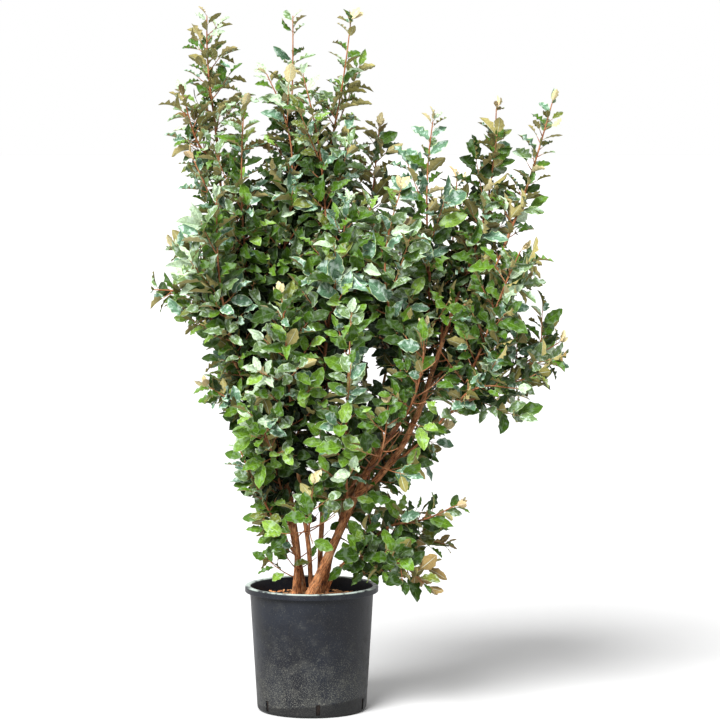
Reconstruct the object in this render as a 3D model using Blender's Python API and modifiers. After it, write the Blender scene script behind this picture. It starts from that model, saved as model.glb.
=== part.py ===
# Potted ebbinges silverberry, Elaeagnus x ebbingei: a black nursery pot filled with soil, the stems
# that rise from it, the boughs that fork from the stems, and the masses of foliage that they carry.
# Metres, +Z up. The origin is the centre of the pot's underside, +X is the plant's right side as it
# is usually seen, and -Y is its front.

import math
import random

import bmesh
import bpy
import numpy as np
from mathutils import Matrix, Vector
from mathutils.bvhtree import BVHTree

GAP = 0.0003  # left between neighbours that touch

# The pot is a 25 litre container with a turned-over lip and six drain slots round its foot.
POT_HEIGHT = 0.328
POT_RIM_RADIUS = 0.175
POT_NECK_RADIUS = 0.162  # of the wall's outside, just under the lip
POT_FOOT_RADIUS = 0.143
POT_FOOT_ROUNDING = 0.010
POT_WALL = 0.003
POT_FLOOR = 0.004
LIP_HEIGHT = 0.016
LIP_SKIRT = 0.0025
LIP_BEVEL = 0.0025
ROUND_STEPS = 36
SLOT_COUNT = 6
SLOT_WIDTH = 0.011
SLOT_BOTTOM = 0.008
SLOT_TOP = 0.036
SLOT_TURN = math.radians(7.4)  # of the front slot, towards +X

SOIL_TOP = POT_HEIGHT - 0.035
FOOT_LEVEL = SOIL_TOP + GAP

# A limb's path leaves along one direction and arrives along another, bent as freely as its length.
LIMB_STEP = 0.065  # between the points of a path
LIMB_KINK = 0.0022  # most that a path wanders at a point
FLARE = 0.25  # by which a foot is wider than its stem
FLARE_HEIGHT = 0.030

# stem: foot (x, y), end (x, y, z), direction at the foot, direction at the end, both diameters
STEMS = {
    "right": ((-0.009, -0.034), (0.22, -0.03, 0.744), (0.46, 0, 0.89), (0.62, 0, 0.78), (0.028, 0.011)),
    "left": ((-0.048, -0.012), (-0.103, -0.055, 0.9), (0.18, 0, 1), (0, 0, 1), (0.015, 0.008)),
    "left_inner": (
        (-0.036, 0.03), (-0.138, 0.01, 0.93), (0.08, 0.06, 1), (-0.15, -0.05, 1), (0.014, 0.008)
    ),
    "centre": ((0, 0.014), (-0.042, -0.115, 0.7), (-0.05, -0.05, 1), (-0.12, -0.3, 1), (0.014, 0.008)),
    "centre_right": (
        (0.016, 0.042), (0.012, 0.03, 1.12), (0.08, 0.08, 1), (-0.05, -0.02, 1), (0.015, 0.008)
    ),
    "low_right": (
        (0.034, 0.004), (0.185, -0.035, 0.475), (0.12, 0, 1), (0.7, -0.1, 0.7), (0.011, 0.007)
    ),
    "back_left": ((-0.022, 0.066), (-0.16, 0.185, 0.83), (-0.1, 0.15, 1), (-0.15, 0.1, 1), (0.015, 0.008)),
    "back_right": ((0.032, 0.07), (0.185, 0.205, 0.82), (0.1, 0.15, 1), (0.2, 0.1, 1), (0.015, 0.008)),
}

# bough: parent, share of the parent's length where it forks, end, both directions, both diameters.
# A bough that forks at 1 carries on from its parent's tip, along its parent's direction there.
BOUGHS = {
    "right_outer": ("right", 0.6, (0.39, -0.03, 1.11), (0.8, -0.1, 0.5), (0.38, 0, 0.9), (0.0175, 0.0085)),
    "right_thin": (
        "right_outer", 0.16, (0.41, -0.13, 0.893), (0.7, -0.4, 0.5), (0.35, 0, 0.94), (0.007, 0.005)
    ),
    "far_right": ("right_outer", 0.88, (0.5, -0.05, 1.22), (0.7, -0.1, 0.4), (0.35, 0, 1), (0.007, 0.005)),
    "right_upper": ("right", 1, (0.302, -0.045, 1.03), None, (0.1, -0.05, 1), (0.01, 0.007)),
    "right_centre": (
        "centre_right", 0.62, (0.12, 0.1, 1.08), (0.4, 0.5, 0.7), (0.15, 0.05, 1), (0.009, 0.007)
    ),
    "centre_front": (
        "centre_right", 0.5, (0.035, -0.125, 0.93), (0, -0.8, 0.5), (0.1, -0.1, 1), (0.009, 0.007)
    ),
    "centre_leader": ("left", 1, (-0.088, 0.01, 1.12), None, (0.08, 0.12, 1), (0.008, 0.006)),
    "left_tall": ("left", 0.62, (-0.243, 0.035, 1.46), (-0.5, 0.3, 0.7), (-0.08, 0, 1), (0.01, 0.006)),
    "far_left": (
        "left_tall", 0.35, (-0.19, -0.06, 1.156), (-0.3, -0.6, 0.7), (-0.15, 0, 1), (0.008, 0.006)
    ),
    "left_out": ("left", 0.48, (-0.215, -0.08, 0.95), (-0.55, -0.1, 0.8), (-0.5, 0, 0.8), (0.008, 0.006)),
}

# A leaf is larger than life, as each stands for a few. The twigs are three-sided.
LEAF_LENGTH = 0.118
LEAF_WIDTH = 0.060
LEAF_THICKNESS = 0.003
LEAF_SINK = 0.008  # of a tip leaf's root in its shoot
TWIG_RADIUS = 0.0032
SHOOT_RADIUS = 0.0045
SHOOT_TIP_RADIUS = 0.0026
SHOOT_STEP = 0.110
COLLAR = 0.008  # by which a shoot comes straight out of its limb before it bends
SITE_SPACING = 0.030  # between leaves or twigs along a shoot
TRIES = 16  # at each place, before a leaf is skipped
SMALLER = 0.97  # by which each next try's leaf is smaller
FULL_REACH = 0.095  # with less reach than this, a mass has smaller leaves
GOLDEN_TURN = math.radians(137.5)
SPACE_MARGIN = 0.003  # to the next mass, on each side
LIMB_MARGIN = 0.007

# mass: limb, share of its length where the shoot starts, tip, direction at the start and at the tip,
# reach of the leaves from the shoot, length of the shoot that stays bare.
MASSES = {
    "left_leader": ("left_tall", 1, (-0.272, 0.05, 1.842), None, (0, 0, 1), 0.095, 0.03),
    "upper_left": ("left_tall", 0.96, (-0.336, -0.02, 1.633), (-0.6, -0.5, 0.3), (-0.25, 0, 1), 0.08, 0.03),
    "far_left_shoot": ("far_left", 1, (-0.312, -0.06, 1.463), None, (-0.45, 0, 1), 0.08, 0.03),
    "left_inner_shoot": ("left_inner", 1, (-0.168, -0.13, 1.6), None, (0.05, 0, 1), 0.095, 0.1),
    "centre_leader": ("centre_leader", 1, (-0.049, 0.08, 1.843), None, (0, 0, 1), 0.095, 0.12),
    "centre_thin": (
        "centre_right", 0.93, (-0.026, -0.07, 1.682), (0.2, -0.7, 0.5), (-0.25, 0, 1), 0.075, 0.1
    ),
    "right_centre_leader": ("centre_right", 1, (0.106, -0.01, 1.825), None, (0.12, 0, 1), 0.09, 0.09),
    "right_centre_shoot": ("right_centre", 1, (0.18, 0.14, 1.55), None, (0.1, 0, 1), 0.09, 0.03),
    "right_upper_shoot": ("right_upper", 1, (0.317, -0.06, 1.566), None, (0.12, 0, 1), 0.09, 0.03),
    "right_back_shoot": (
        "right_outer", 0.74, (0.384, 0.15, 1.41), (0, 0.9, 0.5), (0.05, 0.05, 1), 0.095, 0.1
    ),
    "right_leader": ("right_outer", 1, (0.48, -0.02, 1.6), None, (0.04, 0, 1), 0.09, 0.03),
    "far_right_shoot": ("far_right", 1, (0.628, -0.06, 1.613), None, (0.28, 0, 1), 0.08, 0.03),
    "right_shoulder": (
        "right_outer", 0.55, (0.572, 0.13, 1.175), (0.5, 0.7, 0.4), (0.6, 0.1, 0.7), 0.1, 0.1
    ),
    "far_right_side": (
        "right_thin", 0.74, (0.66, -0.11, 0.985), (1, 0, 0.05), (0.85, 0, 0.5), 0.125, 0.06
    ),
    "right_middle": ("right_thin", 1, (0.545, -0.18, 1.235), None, (0.4, -0.05, 0.9), 0.11, 0.01),
    "right_low_side": (
        "right_thin", 0.6, (0.55, -0.2, 0.86), (0.6, -0.8, 0.2), (0.9, 0, -0.05), 0.09, 0.03
    ),
    "right_under": ("right_outer", 0.08, (0.365, 0.06, 0.745), (0.2, 0.9, 0), (0.8, 0, 0.5), 0.085, 0.03),
    "low_right": ("low_right", 1, (0.398, -0.1, 0.56), None, (0.9, 0, 0.4), 0.115, 0.01),
    "low_right_hanging": (
        "low_right", 0.4, (0.32, -0.13, 0.325), (0.5, -0.8, 0.3), (0.75, 0, -0.65), 0.115, 0.02
    ),
    "low_right_middle": (
        "low_right", 0.7, (0.375, 0.06, 0.42), (0.5, 0.8, 0), (0.8, 0, -0.2), 0.115, 0.02
    ),
    "right_front": ("right", 0.93, (0.29, -0.25, 1.04), (0.1, -0.9, 0.2), (0.05, -0.1, 1), 0.11, 0.03),
    "right_front_low": ("right", 0.74, (0.2, -0.25, 0.85), (0.1, -0.9, 0.2), (0.1, -0.1, 1), 0.1, 0.03),
    "right_front_upper": (
        "right_upper", 0.45, (0.238, -0.18, 1.39), (-0.4, -0.7, 0.5), (0.3, -0.05, 1), 0.1, 0.03
    ),
    "centre_front": ("centre_front", 1, (0.101, -0.17, 1.36), None, (0.15, 0, 1), 0.105, 0.01),
    "front_shoot": ("right", 0.52, (0.106, -0.26, 1.08), (-0.1, -0.9, 0.3), (0.05, 0, 1), 0.105, 0.1),
    "front_left": ("centre", 1, (-0.074, -0.26, 1.13), None, (-0.1, -0.05, 1), 0.11, 0.01),
    "front_low": ("centre", 0.42, (0.01, -0.21, 0.64), (0.2, -0.9, 0.2), (0.1, -0.3, 0.9), 0.09, 0.04),
    "front_left_low": ("left", 0.58, (-0.14, -0.24, 0.86), (-0.1, -0.9, 0.3), (-0.2, -0.2, 0.9), 0.1, 0.04),
    "left_front_upper": (
        "left_inner", 0.86, (-0.235, -0.215, 1.37), (-0.5, -0.8, 0.3), (0, 0, 1), 0.105, 0.12
    ),
    "left_low": ("left", 0.32, (-0.284, -0.12, 0.873), (-0.35, -0.5, 0.8), (-0.75, -0.1, 0.5), 0.08, 0.1),
    "far_left": ("left_out", 1, (-0.437, -0.08, 1.11), None, (-0.95, 0, 0.1), 0.09, 0.01),
    "left_shoulder": (
        "left_tall", 0.28, (-0.38, 0.12, 1.22), (-0.4, 0.7, 0.6), (-0.85, 0, 0.5), 0.1, 0.05
    ),
    "left_under": ("left", 0.4, (-0.262, 0.04, 0.86), (-0.6, 0.6, 0.5), (-0.7, 0, 0.5), 0.09, 0.04),
    "left_bottom": ("left", 0.18, (-0.195, -0.1, 0.72), (-0.4, -0.5, 0.7), (-0.4, -0.05, 0.9), 0.09, 0.05),
    "back_left": ("back_left", 1, (-0.23, 0.27, 1.38), None, (-0.05, 0, 1), 0.115, 0.2),
    "back_centre": ("back_left", 0.62, (0.01, 0.31, 1.33), (0.8, 0.5, 0.6), (0, 0.05, 1), 0.115, 0.32),
    "back_right": ("back_right", 1, (0.24, 0.31, 1.28), None, (0.05, 0.05, 1), 0.115, 0.12),
    "back_far_right": ("back_right", 0.55, (0.48, 0.24, 1.12), (0.8, 0.1, 0.6), (0.4, 0.1, 0.8), 0.11, 0.24),
    "back_low_right": ("back_right", 0.3, (0.24, 0.27, 0.7), (0.4, 0.8, 0.4), (0.5, 0.3, 0.6), 0.1, 0.04),
    "centre_left_shoot": (
        "centre_leader", 0.8, (-0.126, 0, 1.686), (0.1, -0.6, 0.7), (-0.45, 0, 1), 0.085, 0.06
    ),
}

# Base colour, roughness and metallic value of each material.
MATERIALS = {
    "pot_plastic": ((0.018, 0.022, 0.028, 1.0), 0.48, 0.0),
    "soil": ((0.060, 0.035, 0.022, 1.0), 0.95, 0.0),
    "bark": ((0.230, 0.105, 0.050, 1.0), 0.80, 0.0),
    "foliage": ((0.070, 0.165, 0.060, 1.0), 0.55, 0.0),
}


def clear_scene():
    for obj in list(bpy.data.objects):
        bpy.data.objects.remove(obj, do_unlink=True)
    for collection in list(bpy.data.collections):
        bpy.data.collections.remove(collection)


def new_collection(name):
    collection = bpy.data.collections.new(name)
    bpy.context.scene.collection.children.link(collection)
    return collection


def new_material(name):
    colour, roughness, metallic = MATERIALS[name]
    material = bpy.data.materials.new(name)
    material.use_nodes = True
    shader = material.node_tree.nodes["Principled BSDF"]
    shader.inputs["Base Color"].default_value = colour
    shader.inputs["Roughness"].default_value = roughness
    shader.inputs["Metallic"].default_value = metallic
    material.diffuse_color = colour
    return material


def new_object(name, mesh, collection, material=None):
    obj = bpy.data.objects.new(name, mesh)
    collection.objects.link(obj)
    if material:
        mesh.materials.clear()
        mesh.materials.append(material)
    return obj


def as_cutter(obj):
    obj.hide_render = True
    obj.display_type = "WIRE"
    return obj


def evaluated_mesh(obj):
    graph = bpy.context.evaluated_depsgraph_get()
    return bpy.data.meshes.new_from_object(obj.evaluated_get(graph))


def edit_mesh(mesh, change):
    shape = bmesh.new()
    shape.from_mesh(mesh)
    change(shape)
    shape.to_mesh(mesh)
    shape.free()
    mesh.update()


# Paths


def unit(vector):
    return Vector(vector).normalized()


def bent_path(start, end, leave, arrive, step, kink, seed):
    """Points on the cubic between two ends, with a slight seeded kink at each inner point."""
    start, end = Vector(start), Vector(end)
    chord = (end - start).length
    leave, arrive = unit(leave) * chord, unit(arrive) * chord
    count = max(3, math.ceil(chord / step))
    chance = random.Random(seed)
    points = []
    for index in range(count + 1):
        t = index / count
        point = (2 * t**3 - 3 * t**2 + 1) * start + (t**3 - 2 * t**2 + t) * leave
        point += (3 * t**2 - 2 * t**3) * end + (t**3 - t**2) * arrive
        if 1 < index < count - 1:
            point += Vector([chance.uniform(-kink, kink) for _ in range(3)])
        points.append(point)
    return points


def along_path(points, share):
    """The point at this share of a path's length, and the direction there."""
    lengths = [(b - a).length for a, b in zip(points, points[1:])]
    left = share * sum(lengths)
    for a, b, length in zip(points, points[1:], lengths):
        if left <= length:
            return a.lerp(b, left / length), (b - a).normalized()
        left -= length
    return points[-1].copy(), (points[-1] - points[-2]).normalized()


def tapered(count, first, last):
    return [first + (last - first) * index / (count - 1) for index in range(count)]


class Limb:
    """A stem or bough: its path, and its radius at each point."""

    def __init__(self, name, points, radii, resolution):
        self.name = name
        self.points = points
        self.radii = radii
        self.resolution = resolution  # of its round section

    def radius_at(self, share):
        place = share * (len(self.radii) - 1)
        index = min(int(place), len(self.radii) - 2)
        return self.radii[index] + (self.radii[index + 1] - self.radii[index]) * (place - index)

    def side_start(self, share, leave):
        """The limb's middle at this share of its length, and the first place clear of its bark."""
        point, along = along_path(self.points, share)
        outward = unit(leave)
        outward = (outward - along * outward.dot(along)).normalized()
        return point, point + outward * (self.radius_at(share) + COLLAR)


def plan_stems():
    limbs = {}
    for name, (foot, end, leave, arrive, diameters) in STEMS.items():
        node = "stem_" + name
        below = Vector((foot[0], foot[1], FOOT_LEVEL))
        points = bent_path(below, end, leave, arrive, LIMB_STEP, LIMB_KINK, node)
        radii = tapered(len(points), diameters[0] / 2, diameters[1] / 2)
        limbs[name] = Limb(node, points, radii, 2)
    return limbs


def plan_boughs(limbs):
    for name, (parent, share, end, leave, arrive, diameters) in BOUGHS.items():
        node = "bough_" + name
        start, along = along_path(limbs[parent].points, share)
        if share == 1:
            start, leave = start + along * GAP, along
        points = bent_path(start, end, leave, arrive, LIMB_STEP, LIMB_KINK, node)
        if share == 1:
            points.insert(1, start + along * COLLAR)
        radii = tapered(len(points), diameters[0] / 2, diameters[1] / 2)
        limbs[name] = Limb(node, points, radii, 1)


# Solids


def tube_mesh(name, points, radii, collection, resolution=2, section=None):
    """A tapering tube along the points: round, or of the section's outline where one is given."""
    curve = bpy.data.curves.new(name, "CURVE")
    curve.dimensions = "3D"
    curve.use_fill_caps = True
    if section:
        curve.bevel_mode = "OBJECT"
        curve.bevel_object = section
    else:
        curve.bevel_depth = 1.0
        curve.bevel_resolution = resolution
    spline = curve.splines.new("POLY")
    spline.points.add(len(points) - 1)
    for spot, point, radius in zip(spline.points, points, radii):
        spot.co = (*point, 1.0)
        spot.radius = radius
    guide = new_object(name + "_path", curve, collection)
    mesh = evaluated_mesh(guide)
    bpy.data.objects.remove(guide, do_unlink=True)
    edit_mesh(mesh, lambda shape: bmesh.ops.remove_doubles(shape, verts=shape.verts, dist=1e-6))
    return mesh


def cut_flat(mesh, level):
    """Takes away what lies below the level and closes the cut."""

    def change(shape):
        everything = shape.verts[:] + shape.edges[:] + shape.faces[:]
        bmesh.ops.bisect_plane(
            shape, geom=everything, plane_co=(0, 0, level), plane_no=(0, 0, -1), clear_outer=True
        )
        rim = [edge for edge in shape.edges if edge.is_boundary]
        bmesh.ops.contextual_create(shape, geom=rim)

    edit_mesh(mesh, change)


def build_stem(limb, collection, material):
    """A stem with its flared foot, cut flat at the soil."""
    points, radii = list(limb.points), list(limb.radii)
    first = (points[1] - points[0]).normalized()
    for height in (0.5 * FLARE_HEIGHT, FLARE_HEIGHT):
        points.insert(-len(limb.points) + 1, points[0] + first * height)
    radii = [limb.radii[0]] * 2 + radii
    radii = [
        radius * (1 + FLARE * math.exp(-3 * (point.z - FOOT_LEVEL) / FLARE_HEIGHT))
        for point, radius in zip(points, radii)
    ]
    points.insert(0, points[0] - first * FLARE_HEIGHT)
    radii.insert(0, radii[0])
    mesh = tube_mesh(limb.name, points, radii, collection, limb.resolution)
    cut_flat(mesh, FOOT_LEVEL)
    mesh.shade_smooth()
    return new_object(limb.name, mesh, collection, material)


def build_seats(limbs, cutters):
    """Each limb, a gap wider all round: it cuts the seat of whatever comes out of that limb's side."""
    seats = {}
    for name, limb in limbs.items():
        wide = [radius + GAP for radius in limb.radii]
        mesh = tube_mesh(limb.name + "_seat", limb.points, wide, cutters, limb.resolution)
        seats[name] = as_cutter(new_object(limb.name + "_seat", mesh, cutters))
    return seats


def cut_seat(obj, seat):
    cut = obj.modifiers.new("seat", "BOOLEAN")
    cut.operation = "DIFFERENCE"
    cut.object = seat


def build_bough(limb, collection, material):
    mesh = tube_mesh(limb.name, limb.points, limb.radii, collection, limb.resolution)
    mesh.shade_smooth()
    return new_object(limb.name, mesh, collection, material)


def box_mesh(name):
    mesh = bpy.data.meshes.new(name)
    shape = bmesh.new()
    bmesh.ops.create_cube(shape, size=1.0)
    shape.to_mesh(mesh)
    shape.free()
    return mesh


def screw_object(name, profile, collection, material):
    """A turned solid from a profile of (radius, height) that runs down its outer side."""
    mesh = bpy.data.meshes.new(name)
    edges = [(index, index + 1) for index in range(len(profile) - 1)]
    mesh.from_pydata([(radius, 0.0, height) for radius, height in profile], edges, [])
    obj = new_object(name, mesh, collection, material)
    turn = obj.modifiers.new("turned", "SCREW")
    turn.steps = ROUND_STEPS
    turn.render_steps = ROUND_STEPS
    turn.use_merge_vertices = True
    turn.merge_threshold = 1e-5
    turn.use_smooth_shade = False
    return obj


def wall_radius(height):
    """Outer radius of the pot's wall at this height."""
    share = height / (POT_HEIGHT - LIP_HEIGHT)
    return POT_FOOT_RADIUS + (POT_NECK_RADIUS - POT_FOOT_RADIUS) * share


def build_pot(collection, cutters, material):
    top, neck = POT_HEIGHT, POT_HEIGHT - LIP_HEIGHT
    groove = top - POT_WALL
    skirt = POT_RIM_RADIUS - LIP_SKIRT
    inner = wall_radius(top) - POT_WALL
    floor_radius = wall_radius(POT_FLOOR) - POT_WALL
    corner = [
        (
            wall_radius(POT_FOOT_ROUNDING) - POT_FOOT_ROUNDING * (1 - math.cos(angle)),
            POT_FOOT_ROUNDING * (1 - math.sin(angle)),
        )
        for angle in (0, math.pi / 6, math.pi / 3, math.pi / 2)
    ]
    profile = [
        (0.0, POT_FLOOR),
        (floor_radius, POT_FLOOR),
        (inner, top - LIP_BEVEL),
        (inner + LIP_BEVEL, top),
        (POT_RIM_RADIUS - LIP_BEVEL, top),
        (POT_RIM_RADIUS, top - LIP_BEVEL),
        (POT_RIM_RADIUS, neck),
        (skirt, neck),
        (skirt, groove),
        (wall_radius(groove), groove),
        *corner,
        (0.0, 0.0),
    ]
    pot = screw_object("pot", profile, collection, material)
    slots = bpy.data.collections.new("drain slots")
    cutters.children.link(slots)
    box = box_mesh("slot")
    for index in range(SLOT_COUNT):
        turn = SLOT_TURN + index * math.tau / SLOT_COUNT
        out = Matrix.Translation((0.0, -POT_FOOT_RADIUS, (SLOT_TOP + SLOT_BOTTOM) / 2))
        size = Matrix.Diagonal((SLOT_WIDTH, 10 * POT_WALL, SLOT_TOP - SLOT_BOTTOM, 1.0))
        cutter = as_cutter(new_object(f"drain_slot_{index}", box, slots))
        cutter.matrix_world = Matrix.Rotation(turn, 4, "Z") @ out @ size
    cut = pot.modifiers.new("drain slots", "BOOLEAN")
    cut.operation = "DIFFERENCE"
    cut.operand_type = "COLLECTION"
    cut.collection = slots
    return pot


def build_soil(collection, material):
    bottom = POT_FLOOR + GAP
    inset = POT_WALL + 2 * GAP
    profile = [
        (0.0, SOIL_TOP),
        (wall_radius(SOIL_TOP) - inset, SOIL_TOP),
        (wall_radius(bottom) - inset, bottom),
        (0.0, bottom),
    ]
    return screw_object("soil", profile, collection, material)


# Foliage


def distance_to_path(samples, points):
    """Distance of each sample to a path, and where along the path its nearest place is."""
    nearest = np.full(len(samples), np.inf)
    place = np.zeros(len(samples))
    for index, (a, b) in enumerate(zip(points, points[1:])):
        a, run = np.array(a), np.array(b - a)
        share = np.clip((samples - a) @ run / (run @ run), 0, 1)
        distance = np.linalg.norm(samples - a - share[:, None] * run, axis=1)
        closer = distance < nearest
        nearest = np.where(closer, distance, nearest)
        place = np.where(closer, index + share, place)
    return nearest, place


class Space:
    """Each mass owns the room nearer to its own shoot than to any other, less a margin."""

    def __init__(self, limbs, shoots):
        self.limbs = limbs
        self.shoots = shoots
        self.reach = {name: MASSES[name][5] for name in shoots}

    def owned(self, name, samples):
        own = distance_to_path(samples, self.shoots[name])[0] - self.reach[name]
        for other, points in self.shoots.items():
            if other == name:
                continue
            away = distance_to_path(samples, points)[0] - self.reach[other]
            if (own + 2 * SPACE_MARGIN > away).any():
                return False
        return True

    def clear_of_limbs(self, samples):
        for limb in self.limbs.values():
            distance, place = distance_to_path(samples, limb.points)
            radius = np.interp(place, range(len(limb.radii)), limb.radii)
            if (distance < radius + LIMB_MARGIN).any():
                return False
        return self.clear_of_pot(samples)

    def clear_of_pot(self, samples):
        near = np.hypot(samples[:, 0], samples[:, 1]) < POT_RIM_RADIUS + LIMB_MARGIN
        return not (near & (samples[:, 2] < POT_HEIGHT + LIMB_MARGIN)).any()


def leaf_matrix(root, direction, facing, size):
    """Places the unit leaf with its root here, its length along the direction and its face to facing."""
    length, width = size * LEAF_LENGTH / 2, size * LEAF_WIDTH / 2
    along = unit(direction)
    across = unit(facing).cross(along).normalized()
    normal = along.cross(across)
    middle = root + along * length
    turn = Matrix((across * width, normal * LEAF_THICKNESS / 2, along * length))
    return Matrix.Translation(middle) @ turn.transposed().to_4x4()


def leaf_samples(matrix):
    """Points over a leaf's blade, close enough together that no limb slips between them."""
    found = []
    for length in np.linspace(-0.85, 1.0, 10):
        for width in (-1.0, -0.5, 0.0, 0.5, 1.0):
            found.append(matrix @ Vector((width * (1 - abs(length)), 0.0, length)))
    return np.array(found)


def twig_matrix(start, end, turn):
    run = end - start
    return (
        Matrix.Translation(start)
        @ run.to_track_quat("Z", "Y").to_matrix().to_4x4()
        @ Matrix.Rotation(turn, 4, "Z")
        @ Matrix.Diagonal((TWIG_RADIUS, TWIG_RADIUS, run.length, 1.0))
    )


def tree_of(mesh, matrix):
    points = [matrix @ vertex.co for vertex in mesh.vertices]
    return BVHTree.FromPolygons(points, [polygon.vertices[:] for polygon in mesh.polygons])


class Mass:
    """The twigs and leaves that grow on one shoot, by a seeded rule, inside the shoot's own space."""

    def __init__(self, name, points, space, leaf, twig):
        self.name = name
        self.node = "leaves_" + name
        self.points = points
        self.space = space
        self.leaf = leaf
        self.twig = twig
        self.chance = random.Random(self.node)
        self.leaves = []
        self.twigs = []
        self.trees = []

    def spread(self, most):
        return Vector([self.chance.uniform(-most, most) for _ in range(3)])

    def fits(self, samples, tree, owner):
        """True inside the space and clear of the limbs, of other twigs and of the leaves so far."""
        if not (self.space.owned(self.name, samples) and self.space.clear_of_limbs(samples)):
            return False
        grown = [other for twig, other in self.trees if twig != owner]
        return not any(other.overlap(tree) for other in grown)

    def add_leaf(self, root, direction, owner=0, size=None):
        """Adds a leaf that turns its face outwards, or skips it where no try fits."""
        size = size or min(1.0, MASSES[self.name][5] / FULL_REACH)
        outward = Vector((root.x, root.y, 0.0)).normalized()
        for attempt in range(TRIES):
            swing = 0.15 + 0.12 * attempt
            aim = unit(direction) + self.spread(swing)
            facing = outward + Vector((0, 0, 0.5)) + self.spread(0.8)
            matrix = leaf_matrix(root, aim, facing, size * SMALLER**attempt)
            tree = tree_of(self.leaf, matrix)
            if self.fits(leaf_samples(matrix), tree, owner):
                self.leaves.append(matrix)
                self.trees.append((-1, tree))
                return

    def add_twig(self, start, direction, length):
        """Adds a twig and returns its tip, or None where it doesn't fit."""
        end = start + unit(direction) * length
        samples = np.array([start.lerp(end, share) for share in (0.3, 0.5, 0.7, 0.85, 1.0)])
        matrix = twig_matrix(start, end, self.chance.uniform(0, math.tau))
        tree = tree_of(self.twig, matrix)
        if not self.fits(samples, tree, 0):
            return None
        self.twigs.append(matrix)
        self.trees.append((len(self.twigs), tree))
        return end

    def grow(self):
        """Leaves and leafy twigs in turn, spaced along the shoot and each a golden turn on."""
        reach, bare = MASSES[self.name][5:]
        total = sum((b - a).length for a, b in zip(self.points, self.points[1:]))
        tip, along = along_path(self.points, 1.0)
        self.add_leaf(tip - along * LEAF_SINK, along, size=1.0)
        turn = self.chance.uniform(0, math.tau)
        for index in range(int((total - bare) / SITE_SPACING)):
            share = 1 - (index + 0.6) * SITE_SPACING / total
            point, along = along_path(self.points, share)
            turn += GOLDEN_TURN
            side = along.orthogonal().normalized()
            side.rotate(Matrix.Rotation(turn, 3, along))
            length = (reach - 0.5 * LEAF_LENGTH) * min(1.0, 2.5 * (1 - share))
            if index % 3 == 2 and length > 0.025:
                self.grow_twig(point, along, side, length)
            else:
                self.add_leaf(point, side + along * 0.6)

    def grow_twig(self, point, along, side, length):
        """A twig with a leaf at its tip and one on each side."""
        direction = (side + along * 0.6).normalized()
        end = self.add_twig(point, direction, length)
        if end is None:
            self.add_leaf(point, side + along * 0.6)
            return
        owner = len(self.twigs)
        across = direction.cross(Vector((0, 0, 1))).normalized()
        self.add_leaf(end - direction * LEAF_SINK, direction, owner)
        for share, sign in ((0.60, 1), (0.78, -1)):
            self.add_leaf(point.lerp(end, share), direction * 0.7 + across * sign, owner)

    def build(self, seat, collection, section, material):
        """Joins the shoot, the twigs and the leaves into one closed solid, and cuts its seat on the limb."""
        radii = tapered(len(self.points), SHOOT_RADIUS, SHOOT_TIP_RADIUS)
        shoot = tube_mesh(self.node, self.points, radii, collection, section=section)
        obj = new_object(self.node, shoot, collection, material)
        bits = new_collection(self.node + "_bits")
        for matrix in self.twigs:
            new_object("twig", self.twig, bits).matrix_world = matrix
        for matrix in self.leaves:
            new_object("leaf", self.leaf, bits).matrix_world = matrix
        union = obj.modifiers.new("joined", "BOOLEAN")
        union.operation = "UNION"
        union.operand_type = "COLLECTION"
        union.collection = bits
        if seat:
            cut_seat(obj, seat)
        joined = evaluated_mesh(obj)
        obj.modifiers.clear()
        obj.data = joined
        joined.name = self.node
        joined.materials.clear()
        joined.materials.append(material)
        keep_main_body(joined)
        for bit in list(bits.objects):
            bpy.data.objects.remove(bit, do_unlink=True)
        bpy.data.collections.remove(bits)
        return obj


def keep_main_body(mesh):
    """Drops loose scraps and the walls of sealed hollows, so that one closed body is left."""

    def change(shape):
        left = set(shape.faces)
        bodies = []
        while left:
            body, edge = set(), [left.pop()]
            while edge:
                face = edge.pop()
                body.add(face)
                for side in face.edges:
                    for other in side.link_faces:
                        if other in left:
                            left.remove(other)
                            edge.append(other)
            bodies.append(body)
        bodies.sort(key=len)
        scraps = [face for body in bodies[:-1] for face in body]
        bmesh.ops.delete(shape, geom=scraps, context="FACES")

    edit_mesh(mesh, change)


def leaf_solid():
    """A unit leaf of eight faces: a blade pointed at both ends, thickest along its middle."""
    mesh = bpy.data.meshes.new("leaf")
    shape = bmesh.new()
    bmesh.ops.create_uvsphere(shape, u_segments=4, v_segments=2, radius=1.0)
    shape.to_mesh(mesh)
    shape.free()
    return mesh


def twig_solid():
    """A unit twig: three-sided, tapering, from its root at the origin to 1 along +Z."""
    mesh = bpy.data.meshes.new("twig")
    shape = bmesh.new()
    lift = Matrix.Translation((0.0, 0.0, 0.5))
    bmesh.ops.create_cone(
        shape, cap_ends=True, cap_tris=False, segments=3, radius1=1.0, radius2=0.7, depth=1.0, matrix=lift
    )
    shape.to_mesh(mesh)
    shape.free()
    return mesh


def three_sided_section(collection):
    """The outline that gives a shoot three sides."""
    curve = bpy.data.curves.new("three_sided", "CURVE")
    curve.dimensions = "2D"
    curve.fill_mode = "NONE"
    spline = curve.splines.new("POLY")
    spline.points.add(2)
    spline.use_cyclic_u = True
    for index, spot in enumerate(spline.points):
        angle = -index * math.tau / 3
        spot.co = (math.cos(angle), math.sin(angle), 0.0, 1.0)
    return as_cutter(new_object("three_sided_section", curve, collection))


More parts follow.
